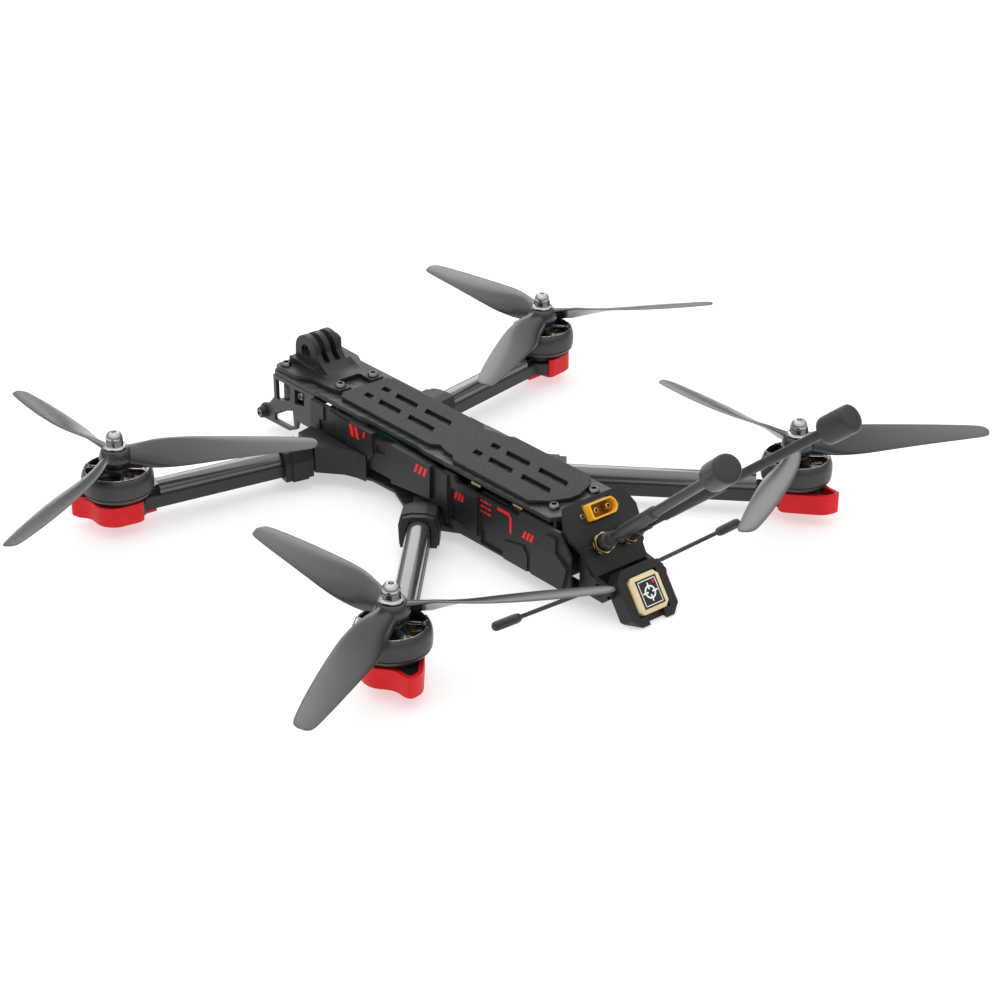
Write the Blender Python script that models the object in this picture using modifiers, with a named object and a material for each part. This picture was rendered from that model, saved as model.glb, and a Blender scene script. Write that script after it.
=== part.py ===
"""Seven-inch long-range FPV quadcopter: carbon frame, four motors with tri-blade propellers, nose camera,
tilted tail with power connector, GPS and antennas. Every piece is its own object; metres, +Z up, nose to -Y."""

import math

import bmesh
import bpy
from mathutils import Matrix, Vector

# ---- driving dimensions, millimetres, in the frame centred between the motors with z = 0 at the blade tips ----
SHIFT = Vector((0.0, -7.2, 36.2))  # from that frame to the bottom centre of the whole drone
FRONT_MOTOR = (133.5, -99.1)
REAR_MOTOR = (122.6, 99.1)
FRONT_ARM_DEG = -10.7
REAR_ARM_DEG = 46.1
PROP_RADIUS = 95.25
PROP_PITCH = 104.0
BLADE_ANGLES = (-90.0, 30.0, 150.0)
BELL_RADIUS = 17.2
ARM_HALF = 5.6
ARM_BOTTOM = -29.0
ARM_TOP = -22.8
PLATE_LOW = (-31.2, -29.3)
PLATE_MID = (-22.5, -20.6)
PLATE_TOP = (-0.5, 2.0)
BODY_HALF = 20.0
TAIL_TILT = 35.0
TAIL_POINT = Vector((0.0, 92.3, 3.5))
CAMERA_PIVOT = (0.0, -121.0, -10.6)
ANTENNA_BASE = Vector((7.6, 104.6, -5.8))
ANTENNA_DIRECTION = Vector((0.213, 0.745, 0.629)).normalized()
ANTENNA_LENGTH = 133.5

ROOT = None
CUTTERS = None


# ---- scene and material helpers ----
def clear_scene():
    for obj in list(bpy.data.objects):
        bpy.data.objects.remove(obj, do_unlink=True)


def new_collection(name, hidden):
    made = bpy.data.collections.new(name)
    bpy.context.scene.collection.children.link(made)
    made.hide_render = hidden
    return made


def material(name, colour, metallic=0.0, roughness=0.5):
    made = bpy.data.materials.get(name)
    if made:
        return made
    made = bpy.data.materials.new(name)
    made.use_nodes = True
    shader = made.node_tree.nodes["Principled BSDF"]
    shader.inputs["Base Color"].default_value = (*colour, 1.0)
    shader.inputs["Metallic"].default_value = metallic
    shader.inputs["Roughness"].default_value = roughness
    made.diffuse_color = (*colour, 1.0)
    return made


def carbon():
    return material("carbon_fibre", (0.035, 0.036, 0.038), 0.0, 0.42)


def moulded():
    return material("moulded_black", (0.028, 0.028, 0.03), 0.0, 0.55)


def red_tpu():
    return material("red_tpu", (0.7, 0.018, 0.018), 0.0, 0.5)


def gold():
    return material("gold_plate", (0.75, 0.55, 0.2), 1.0, 0.25)


# ---- shapes: each is (points, faces) in millimetres of the drone frame ----
def prism(outline, low, high):
    """An outline in X and Y, counter-clockwise, between two heights."""
    count = len(outline)
    points = [Vector((x, y, low)) for x, y in outline] + [Vector((x, y, high)) for x, y in outline]
    faces = [tuple(reversed(range(count))), tuple(range(count, 2 * count))]
    for i in range(count):
        j = (i + 1) % count
        faces.append((i, j, count + j, count + i))
    return points, faces


def rounded(outline, radius, steps=3):
    """The same outline with each corner turned into a short curve."""
    made = []
    count = len(outline)
    for i, corner in enumerate(outline):
        here = Vector(corner)
        ends = []
        for other in (outline[i - 1], outline[(i + 1) % count]):
            side = Vector(other) - here
            ends.append(here + side.normalized() * min(radius, 0.42 * side.length))
        for k in range(steps + 1):
            t = k / steps
            point = ends[0] * (1 - t) ** 2 + here * 2 * t * (1 - t) + ends[1] * t * t
            made.append((point.x, point.y))
    return made


def side_prism(outline, x_low, x_high):
    """An outline in Y and Z, between two values of X."""
    points, faces = prism(outline, x_low, x_high)
    return [Vector((p.z, p.x, p.y)) for p in points], faces


def box(x0, x1, y0, y1, z0, z1):
    return prism([(x0, y0), (x1, y0), (x1, y1), (x0, y1)], z0, z1)


def turned(profile, centre, steps, ring=False):
    """A profile of (radius, z), rising on the outside, turned about the vertical through centre."""
    points = []
    faces = []
    for radius, z in profile:
        if radius == 0.0:
            points.append([Vector((centre[0], centre[1], z))])
            continue
        turn = [2 * math.pi * i / steps for i in range(steps)]
        points.append([Vector((centre[0] + radius * math.cos(a), centre[1] + radius * math.sin(a), z)) for a in turn])
    starts = []
    flat = []
    for loop in points:
        starts.append(len(flat))
        flat.extend(loop)
    pairs = list(zip(range(len(profile) - 1), range(1, len(profile))))
    if ring:
        pairs.append((len(profile) - 1, 0))
    for a, b in pairs:
        for i in range(steps):
            j = (i + 1) % steps
            low = [starts[a]] if len(points[a]) == 1 else [starts[a] + i, starts[a] + j]
            high = [starts[b]] if len(points[b]) == 1 else [starts[b] + j, starts[b] + i]
            if len(low) + len(high) > 2:
                faces.append(tuple(low + high))
    return flat, faces


def moved(shape, matrix):
    points, faces = shape
    turned_over = matrix.to_3x3().determinant() < 0
    return [matrix @ p for p in points], [tuple(reversed(f)) for f in faces] if turned_over else faces


def rod(start, end, radius, steps, tip=None):
    """A round bar between two points, narrowing to tip where one is given."""
    start, end = Vector(start), Vector(end)
    length = (end - start).length
    tip = radius if tip is None else tip
    shape = turned([(0.0, 0.0), (radius, 0.0), (tip, length), (0.0, length)], (0, 0), steps)
    aim = (end - start).to_track_quat("Z", "Y").to_matrix().to_4x4()
    return moved(shape, Matrix.Translation(start) @ aim)


def mirrored(shape):
    return moved(shape, Matrix.Scale(-1, 4, Vector((1, 0, 0))))


def sided(shape, side):
    return shape if side > 0 else mirrored(shape)


def mesh_object(name, shape, origin, collection):
    points, faces = shape
    mesh = bpy.data.meshes.new(name)
    origin = Vector(origin)
    mesh.from_pydata([tuple((p - origin) * 0.001) for p in points], [], faces)
    mesh.update()
    work = bmesh.new()
    work.from_mesh(mesh)
    bmesh.ops.recalc_face_normals(work, faces=work.faces)
    work.to_mesh(mesh)
    work.free()
    made = bpy.data.objects.new(name, mesh)
    made.location = (origin + SHIFT) * 0.001
    collection.objects.link(made)
    return made


def piece(name, shapes, surface, origin=(0, 0, 0), bevel=0.0, segments=1):
    """One named solid: the first shape with the others added ('+') or cut away ('-')."""
    made = mesh_object(name, shapes[0], origin, ROOT)
    made.data.materials.append(surface)
    for i, (sign, shape) in enumerate(shapes[1:]):
        tool = mesh_object(f"{name}_tool_{i}", shape, origin, CUTTERS)
        tool.hide_render = True
        tool.display_type = "WIRE"
        cut = made.modifiers.new(f"step_{i}", "BOOLEAN")
        cut.operation = "UNION" if sign == "+" else "DIFFERENCE"
        cut.solver = "EXACT"
        cut.object = tool
    if bevel:
        edge = made.modifiers.new("edge", "BEVEL")
        edge.width = bevel * 0.001
        edge.segments = segments
        edge.limit_method = "ANGLE"
        edge.angle_limit = math.radians(40)
    return made


def hung_on(child, parent):
    child.parent = parent
    child.matrix_parent_inverse = Matrix.Translation(-parent.location)


# ---- rotor: bell, propeller and nut turn together ----
def bell_shapes(centre):
    skirt = [(15.7, -15.4), (17.0, -15.4), (17.2, -13.0), (17.2, -8.2), (16.9, -6.8), (16.1, -5.6), (14.4, -5.5),
             (14.4, -7.5), (15.7, -8.3)]
    shaft = [(0.0, -20.0), (2.2, -20.0), (2.2, -8.6), (5.4, -8.2), (6.2, -5.4), (4.4, -4.1), (2.2, -4.0), (2.2, 10.6),
             (0.0, 10.6)]
    shapes = [turned(skirt, centre, 32, ring=True)]
    for k in range(6):
        arm = box(3.6, 15.2, -1.2, 1.2, -8.1, -5.8)
        spin = Matrix.Translation((*centre, 0)) @ Matrix.Rotation(math.radians(60 * k + 15), 4, "Z")
        shapes.append(("+", moved(arm, spin)))
    shapes.append(("+", turned(shaft, centre, 16)))
    return shapes


def blade_shape(hand):
    """One blade along +X; hand is +1 for a rotor that turns counter-clockwise seen from above."""
    stations = [(4.2, 11.0, 3.6), (9.0, 12.0, 3.2), (16.0, 14.2, 2.5), (26.0, 16.8, 1.9), (36.0, 17.6, 1.6),
                (50.0, 16.6, 1.4), (64.0, 14.9, 1.2), (77.0, 12.6, 1.0), (87.0, 9.9, 0.9), (92.0, 7.8, 0.8),
                (94.4, 5.2, 0.7), (PROP_RADIUS, 2.0, 0.6)]
    section = [(0.5, 0.0), (0.36, 0.62), (0.05, 1.0), (-0.3, 0.62), (-0.5, 0.0), (-0.3, -0.2), (0.05, -0.1),
               (0.36, -0.25)]
    points = []
    for radius, chord, thick in stations:
        pitch = math.atan(PROP_PITCH / (2 * math.pi * max(radius, 18.0)))
        back = 1.6 * (radius / PROP_RADIUS) ** 3
        lift = 0.4 * math.sin(math.pi * radius / PROP_RADIUS)
        for along, high in section:
            forward = along * chord * math.cos(pitch) - high * thick * math.sin(pitch) - back
            up = along * chord * math.sin(pitch) + high * thick * math.cos(pitch) + lift
            points.append(Vector((radius, hand * forward, up)))
    size = len(section)
    faces = [tuple(range(size)), tuple(range((len(stations) - 1) * size, len(stations) * size))]
    for s in range(len(stations) - 1):
        for i in range(size):
            j = (i + 1) % size
            faces.append((s * size + i, s * size + j, (s + 1) * size + j, (s + 1) * size + i))
    return points, faces


def prop_shapes(centre, hand):
    hub = [(2.6, -3.5), (6.6, -3.5), (7.2, -2.6), (7.2, 3.6), (6.4, 5.0), (2.6, 5.0)]
    shapes = [turned(hub, centre, 20, ring=True)]
    for angle in BLADE_ANGLES:
        spin = Matrix.Translation((*centre, 0)) @ Matrix.Rotation(math.radians(angle), 4, "Z")
        shapes.append(("+", moved(blade_shape(hand), spin)))
    return shapes


def nut_shapes(centre):
    dome = [(0.0, 5.3), (5.5, 5.3), (5.5, 6.2), (3.6, 6.7), (3.6, 10.8), (3.4, 12.2), (2.9, 13.1), (0.0, 13.1)]
    flats = [(centre[0] + 4.6 * math.cos(math.radians(60 * k)), centre[1] + 4.6 * math.sin(math.radians(60 * k)))
             for k in range(6)]
    bore = [(0.0, 4.0), (2.5, 4.0), (2.5, 15.0), (0.0, 15.0)]
    return [turned(dome, centre, 16), ("+", prism(flats, 6.4, 10.4)), ("-", turned(bore, centre, 12))]


def motor_base_shape(centre):
    profile = [(2.6, -22.4), (10.3, -22.4), (10.3, -20.8), (9.4, -19.7), (12.6, -19.3), (14.3, -18.7), (15.6, -17.9),
               (16.4, -17.0), (16.85, -15.8), (14.8, -15.8), (14.8, -9.4), (2.6, -9.4)]
    return turned(profile, centre, 28, ring=True)


def build_rotors():
    places = {
        "front_left": (FRONT_MOTOR[0], FRONT_MOTOR[1], 1),
        "front_right": (-FRONT_MOTOR[0], FRONT_MOTOR[1], -1),
        "rear_left": (REAR_MOTOR[0], REAR_MOTOR[1], -1),
        "rear_right": (-REAR_MOTOR[0], REAR_MOTOR[1], 1),
    }
    base_surface = material("stator_copper", (0.16, 0.09, 0.05), 0.6, 0.45)
    bell_surface = material("bell_gunmetal", (0.05, 0.05, 0.052), 0.85, 0.38)
    prop_surface = material("prop_polycarbonate", (0.03, 0.03, 0.032), 0.0, 0.22)
    nut_surface = material("nut_steel", (0.62, 0.62, 0.62), 1.0, 0.28)
    for where, (x, y, hand) in places.items():
        centre = (x, y)
        piece(f"motor_base_{where}", [motor_base_shape(centre)], base_surface, (x, y, -22.4))
        bell = piece(f"motor_bell_{where}", bell_shapes(centre), bell_surface, (x, y, 0.0))
        prop = piece(f"propeller_{where}", prop_shapes(centre, hand), prop_surface, (x, y, 0.0))
        nut = piece(f"prop_nut_{where}", nut_shapes(centre), nut_surface, (x, y, 0.0))
        hung_on(prop, bell)
        hung_on(nut, bell)


# ---- arms: each is drawn along +X from its motor and turned into place; a minus length runs to the body ----
def arm_matrix(motor, degrees, side, flip):
    place = Matrix.Translation((motor[0], motor[1], 0)) @ Matrix.Rotation(math.radians(degrees), 4, "Z")
    if flip:
        place = place @ Matrix.Scale(-1, 4, Vector((0, 1, 0)))
    return place if side > 0 else Matrix.Scale(-1, 4, Vector((1, 0, 0))) @ place


HEAD = [(-8.5, 10.4), (-11.5, 5.6), (-11.5, -5.6), (-8.5, -10.6), (6.0, -10.9), (10.9, -7.2), (12.2, 3.0),
        (18.6, 8.8), (14.8, 11.9)]
PAD = [(-8.0, -13.2), (7.2, -13.4), (13.3, -8.4), (14.5, 2.2), (22.0, 9.4), (15.8, 14.4), (-8.0, 12.9)]


def arm_shapes(matrix, root_length):
    blade = [(-root_length, -ARM_HALF), (-10.0, -ARM_HALF), (-10.0, ARM_HALF), (-root_length, ARM_HALF)]
    head = prism(rounded(HEAD, 1.8), ARM_BOTTOM, ARM_TOP)
    return [moved(prism(blade, ARM_BOTTOM, ARM_TOP), matrix), ("+", moved(head, matrix))]


def cover_shape(matrix, start, end):
    """The half-round shell over the wires, from start to end along the arm."""
    outline = [(-5.4, -22.4)]
    for k in range(9):
        angle = math.pi - math.pi * k / 8
        outline.append((5.4 * math.cos(angle), -21.6 + 4.9 * math.sin(angle)))
    outline.append((5.4, -22.4))
    outline = list(reversed(outline))
    return moved(side_prism(outline, -end, -start), matrix)


def collar_shapes(matrix, start, end):
    shell = [(-8.6, -30.6), (8.6, -30.6), (9.0, -21.0), (7.4, -15.6), (3.0, -14.6), (-3.0, -14.6), (-7.4, -15.6),
             (-9.0, -21.0)]
    lip = [(y * 1.09, -23.0 + (z + 23.0) * 1.07) for y, z in shell]
    lip = [(y, max(z, -31.0)) for y, z in lip]
    bore = [(-5.9, -29.3), (5.9, -29.3), (5.9, -21.0), (4.4, -17.6), (1.8, -16.3), (-1.8, -16.3), (-4.4, -17.6),
            (-5.9, -21.0)]
    return [
        moved(side_prism(shell, -end, -start), matrix),
        ("+", moved(side_prism(lip, -end + 3.0, -start - 3.5), matrix)),
        ("-", moved(side_prism(bore, -end - 1, -start + 1), matrix)),
    ]


def pad_shapes(matrix):
    pocket = []
    for x, y in rounded(HEAD, 1.8):
        grow = 1.0 + 0.5 / math.hypot(x, y)
        pocket.append((x * grow, y * grow))
    door = [(-14.0, -9.4), (-6.0, -9.4), (-6.0, 9.4), (-14.0, 9.4)]
    tongue = [(-16.5, -5.0), (-7.0, -6.0), (-7.0, 6.0), (-16.5, 5.0)]
    foot = [(0.0, -31.7), (4.4, -31.7), (5.2, -30.2), (0.0, -30.2)]
    return [
        moved(prism(rounded(PAD, 3.4), -29.9, -20.2), matrix),
        ("+", moved(prism([(x * 0.93, y * 0.93) for x, y in rounded(PAD, 3.4)], -30.7, -29.6), matrix)),
        ("-", moved(prism(pocket, -29.3, -15.0), matrix)),
        ("-", moved(prism(door, -29.3, -15.0), matrix)),
        ("+", moved(prism(tongue, -30.7, -29.3), matrix)),
        ("+", moved(turned(foot, (2.0, 0.0), 14), matrix)),
    ]


def build_arms():
    glossy = material("arm_cover_gloss", (0.06, 0.06, 0.062), 0.1, 0.25)
    for side, hand in ((1, "left"), (-1, "right")):
        for end, motor, degrees, flip, root, cover in (
            ("front", FRONT_MOTOR, FRONT_ARM_DEG, True, 117.0, (18.8, 82.5)),
            ("rear", REAR_MOTOR, REAR_ARM_DEG, False, 148.0, (18.8, 110.5)),
        ):
            matrix = arm_matrix(motor, degrees, side, flip)
            where = f"{end}_{hand}"
            piece(f"arm_{where}", arm_shapes(matrix, root), carbon(), bevel=0.35)
            piece(f"arm_cover_{where}", [cover_shape(matrix, *cover)], glossy)
            collar = (cover[1] + 0.5, cover[1] + 15.5)
            piece(f"arm_collar_{where}", collar_shapes(matrix, *collar), moulded())
            piece(f"landing_pad_{where}", pad_shapes(matrix), red_tpu())


def build_shrouds():
    """The moulded fairing round each front arm's root, between its collar and the body."""
    plan = [(24.9, -93.0), (34.5, -90.8), (38.0, -72.4), (33.0, -66.5), (28.4, -61.0), (25.8, -54.0), (24.9, -48.0)]
    arm = [(-130.0, -6.0), (-85.0, -6.0), (-85.0, 6.0), (-130.0, 6.0)]
    for side, hand in ((1, "left"), (-1, "right")):
        pocket = moved(prism(arm, -29.6, -22.4), arm_matrix(FRONT_MOTOR, FRONT_ARM_DEG, 1, True))
        shapes = [sided(prism(plan, -28.9, -14.8), side), ("-", sided(pocket, side))]
        piece(f"arm_shroud_{hand}", shapes, moulded())


# ---- plates ----
def both_halves(right_edge):
    """A symmetric outline from its +X edge, listed from front to rear."""
    return right_edge + [(-x, y) for x, y in reversed(right_edge)]


def build_plates():
    low = [(16.0, -96.0), (27.0, -86.0), (28.0, -70.0), (20.0, -50.0), (19.5, -33.0), (26.5, -15.0), (30.5, -2.0),
           (28.0, 10.0), (21.5, 20.0), (20.5, 96.0)]
    shapes = [prism(both_halves(low), *PLATE_LOW), ("-", prism(rounded([(-10, 84), (10, 84), (10, 100), (-10, 100)], 2),
                                                              -33.0, -28.0))]
    piece("bottom_plate", shapes, carbon(), bevel=0.3)
    mid = [(14.0, -116.5), (18.1, -112.0), (18.1, -95.6), (20.0, -95.0), (20.0, 96.0)]
    piece("mid_plate", [prism(both_halves(mid), *PLATE_MID)], carbon(), bevel=0.3)
    top = [(19.0, -131.5), (20.6, -129.5), (20.6, -58.0), (19.4, -52.0), (19.4, -14.0), (20.6, -8.0), (20.6, 82.0),
           (12.8, 86.5)]
    piece("top_plate", [prism(both_halves(top), *PLATE_TOP)], carbon(), bevel=0.3)
    pad = [(13.0, -82.0), (16.6, -78.0), (16.6, -8.5), (13.5, -4.0), (15.5, 2.5), (16.0, 8.5), (19.0, 12.0),
           (19.0, 66.0), (12.5, 72.5), (3.0, 76.5)]
    shapes = [prism(both_halves(pad), 2.3, 4.1)]
    for middle in (-70.3, 14.1):
        for x in (5.4, -5.4):
            hole = [(x - 1.9, middle - 3.6), (x + 1.9, middle - 2.0), (x + 1.9, middle + 3.6), (x - 1.9, middle + 2.0)]
            shapes.append(("-", prism(hole, 0.0, 6.0)))
    for start, stop in ((-63.0, -43.5), (-39.8, -17.4), (21.2, 40.5), (44.4, 67.0)):
        for x in (5.6, -5.0):
            slot = [(x - 2.0, start), (x + 2.0, start + 3.0), (x + 2.0, stop), (x - 2.0, stop - 3.0)]
            shapes.append(("-", prism(slot, 0.0, 6.0)))
    piece("battery_pad", shapes, material("pad_rubber", (0.04, 0.04, 0.04), 0.0, 0.75))


# ---- moulded side guards ----
def guard_front_shapes(side):
    inner = 20.9
    sill = [(-95.5, -20.3), (-52.0, -20.3), (-52.0, -1.2), (-95.5, -1.2)]
    shapes = [sided(side_prism(sill, inner, 22.6), side)]
    panels = [
        ([(-95.5, -16.0), (-88.0, -16.0), (-88.0, -9.5), (-84.5, -9.5), (-84.5, -1.6), (-95.5, -1.6)], 23.4),
        ([(-80.0, -19.9), (-64.0, -22.3), (-58.0, -4.0), (-80.0, -2.0)], 23.6),
        ([(-62.0, -1.6), (-65.0, -16.5), (-51.0, -21.0), (-43.2, -12.5), (-44.0, -1.6)], 24.4),
        ([(-53.0, -21.5), (9.5, -21.5), (9.5, -2.2), (-30.0, -2.2), (-40.0, -4.5), (-53.0, -4.5)], 23.0),
        ([(-28.5, -22.0), (1.5, -19.0), (2.0, -1.6), (-28.0, -1.6)], 24.8),
    ]
    for outline, outer in panels:
        shapes.append(("+", sided(side_prism(outline, inner, outer), side)))
    shapes.append(("-", sided(side_prism([(-42.0, -11.0), (-35.0, -10.0), (-35.0, -6.0), (-42.0, -7.0)], 22.0, 30.0),
                              side)))
    return shapes


def guard_rear_shapes(side):
    inner = 20.9
    plan = [(inner, 10.2), (23.2, 10.2), (23.2, 84.0), (22.2, 98.5), (inner, 98.5)]
    shapes = [sided(prism(plan, -28.9, -1.2), side)]
    panels = [
        ([(27.0, -24.6), (36.5, -24.6), (36.5, -4.6), (27.0, -4.6)], 25.0),
        ([(54.5, -28.9), (71.0, -28.9), (71.0, -21.0), (68.0, -17.0), (54.5, -19.6)], 24.0),
        ([(10.2, -27.0), (14.0, -27.0), (14.0, -2.0), (10.2, -2.0)], 24.2),
        ([(73.5, -28.9), (94.5, -28.9), (97.5, -17.0), (90.0, -12.0), (90.0, -4.5), (84.0, -4.5), (76.0, -14.0),
          (73.5, -20.0)], 23.9),
    ]
    for outline, outer in panels:
        shapes.append(("+", sided(side_prism(outline, 22.0, outer), side)))
    cuts = [
        [(19.5, -4.0), (63.0, -4.0), (66.0, 0.0), (16.5, 0.0)],
        [(37.5, -28.0), (53.5, -28.0), (53.5, -22.6), (37.5, -20.4)],
        [(15.5, -24.0), (25.0, -24.0), (25.0, -8.0), (15.5, -8.0)],
    ]
    for depth, outline in zip((20.0, 22.0, 22.2), cuts):
        shapes.append(("-", sided(side_prism(outline, depth, 30.0), side)))
    leaning = in_tail(prism([(15.0, -20.0), (35.0, -20.0), (35.0, 40.0), (15.0, 40.0)], -3.5, 40.0))
    shapes.append(("-", sided(leaning, side)))
    return shapes


def build_guards():
    for side, hand in ((1, "left"), (-1, "right")):
        piece(f"side_guard_front_{hand}", guard_front_shapes(side), moulded())
        piece(f"side_guard_rear_{hand}", guard_rear_shapes(side), moulded())


# ---- nose ----
def build_nose():
    satin = material("nose_plate_satin", (0.11, 0.11, 0.11), 0.2, 0.4)
    plate = [(-131.5, -0.8), (-131.5, -13.6), (-137.0, -19.5), (-142.6, -21.0), (-145.0, -24.0), (-144.6, -27.4),
             (-141.5, -29.0), (-119.0, -28.4), (-113.0, -25.6), (-111.5, -20.4), (-96.0, -20.4), (-96.0, -0.8)]
    windows = [
        [(-129.2, -2.9), (-129.2, -13.8), (-124.7, -13.8), (-117.0, -10.9), (-116.4, -2.9)],
        [(-112.9, -2.9), (-113.2, -11.3), (-105.0, -9.9), (-105.0, -2.9)],
        [(-132.0, -23.0), (-127.0, -20.0), (-115.4, -16.0), (-114.6, -24.2), (-118.4, -26.4), (-132.0, -26.6)],
    ]
    for side, hand in ((1, "left"), (-1, "right")):
        shapes = [sided(side_prism(plate, 18.4, 20.4), side)]
        for window in windows:
            shapes.append(("-", sided(side_prism(window, 17.0, 22.0), side)))
        shapes.append(("-", rod((side * 17.0, -140.6, -25.0), (side * 22.0, -140.6, -25.0), 2.1, 16)))
        piece(f"camera_plate_{hand}", shapes, satin)
    bar = [rod((-22.8, -140.6, -25.0), (22.8, -140.6, -25.0), 1.8, 14)]
    bar.append(("+", rod((-18.1, -140.6, -25.0), (18.1, -140.6, -25.0), 3.6, 16)))
    for side in (1, -1):
        bar.append(("+", rod((side * 20.7, -140.6, -25.0), (side * 23.4, -140.6, -25.0), 3.4, 16, 2.8)))
    piece("nose_bar", bar, moulded())
    body = []
    for cy, cz, first in ((4.6, 4.6, 0), (-4.6, 4.6, 90), (-4.6, -4.6, 180), (4.6, -4.6, 270)):
        for k in range(4):
            angle = math.radians(first + 30 * k)
            body.append((CAMERA_PIVOT[1] + cy + 3.0 * math.cos(angle), CAMERA_PIVOT[2] + cz + 3.0 * math.sin(angle)))
    front = CAMERA_PIVOT[1]
    small = [(front + (y - front) * 0.86, CAMERA_PIVOT[2] + (z - CAMERA_PIVOT[2]) * 0.86) for y, z in body]
    camera = [side_prism(body, -10.4, 10.4), ("+", side_prism(small, -16.9, 16.9))]
    camera.append(("+", rod((0, front - 6.0, CAMERA_PIVOT[2]), (0, front - 10.0, CAMERA_PIVOT[2]), 7.2, 24)))
    camera.append(("+", rod((0, front - 9.0, CAMERA_PIVOT[2]), (0, front - 12.5, CAMERA_PIVOT[2]), 5.8, 24)))
    camera.append(("-", rod((0, front - 11.2, CAMERA_PIVOT[2]), (0, front - 14.0, CAMERA_PIVOT[2]), 4.2, 20, 5.2)))
    camera.append(("+", rod((-18.1, front, CAMERA_PIVOT[2]), (18.1, front, CAMERA_PIVOT[2]), 2.0, 14)))
    piece("fpv_camera", camera, material("camera_black", (0.02, 0.02, 0.022), 0.2, 0.35), CAMERA_PIVOT)


def ear_outline():
    """One prong of the action-camera mount in Y and Z: a round head, upright in front, flowing down behind."""
    ear = [(-129.0, 4.2)]
    for k in range(17):
        angle = math.radians(187 - 11.4 * k)
        ear.append((-119.5 + 8.9 * math.cos(angle), 12.0 + 8.6 * math.sin(angle)))
    return ear + [(-110.2, 9.4), (-108.2, 7.4), (-105.4, 5.9), (-101.0, 4.4)]


def build_action_mount():
    flange = [(6.5, -94.0), (6.0, -83.0), (14.0, -83.0), (15.5, -92.0), (15.5, -104.0), (19.6, -112.0), (20.2, -129.0),
              (17.0, -131.0)]
    flange = flange + [(-x, y) for x, y in reversed(flange)]
    shapes = [prism(rounded(list(reversed(flange)), 1.6), 2.3, 4.6)]
    ear = ear_outline()
    shapes.append(("+", side_prism([(-129.0, 4.0), (-97.0, 4.0), (-103.0, 5.6), (-108.0, 7.6), (-129.0, 7.6)],
                                   -11.6, 11.6)))
    shapes.append(("+", side_prism([(-112.0, 4.0), (-96.5, 4.0), (-103.0, 6.2), (-107.5, 9.0), (-111.0, 13.0)],
                                   -7.9, 7.9)))
    for x0, x1 in ((-7.9, -4.7), (-1.6, 1.6), (4.7, 7.9)):
        shapes.append(("+", side_prism(ear, x0, x1)))
    for x0, x1 in ((-4.7, -1.6), (1.6, 4.7)):
        shapes.append(("-", box(x0, x1, -140.0, -107.0, 7.8, 30.0)))
    shapes.append(("+", side_prism([(-125.2, 8.6), (-113.8, 8.6), (-113.8, 16.6), (-116.6, 18.0), (-122.4, 18.0),
                                    (-125.2, 16.6)], -10.4, -7.4)))
    shapes.append(("-", rod((-12.0, -119.5, 12.0), (12.0, -119.5, 12.0), 2.6, 20)))
    shapes.append(("-", rod((6.7, -119.5, 12.0), (9.0, -119.5, 12.0), 3.7, 24)))
    hexagon = [(-119.5 + 4.6 * math.cos(math.radians(60 * k)), 12.0 + 4.6 * math.sin(math.radians(60 * k)))
               for k in range(6)]
    shapes.append(("-", side_prism(hexagon, -12.0, -8.0)))
    piece("action_camera_mount", shapes, moulded())


# ---- tail: everything hangs on a wall that leans back; t runs down it, n stands out from it ----
def tail_matrix():
    tilt = math.radians(TAIL_TILT)
    down = Vector((0.0, math.sin(tilt), -math.cos(tilt)))
    out = Vector((0.0, math.cos(tilt), math.sin(tilt)))
    across = Vector((1.0, 0.0, 0.0))
    frame = Matrix((across, down, out)).transposed().to_4x4()
    return Matrix.Translation(TAIL_POINT) @ frame


def in_tail(shape):
    return moved(shape, tail_matrix())


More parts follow.
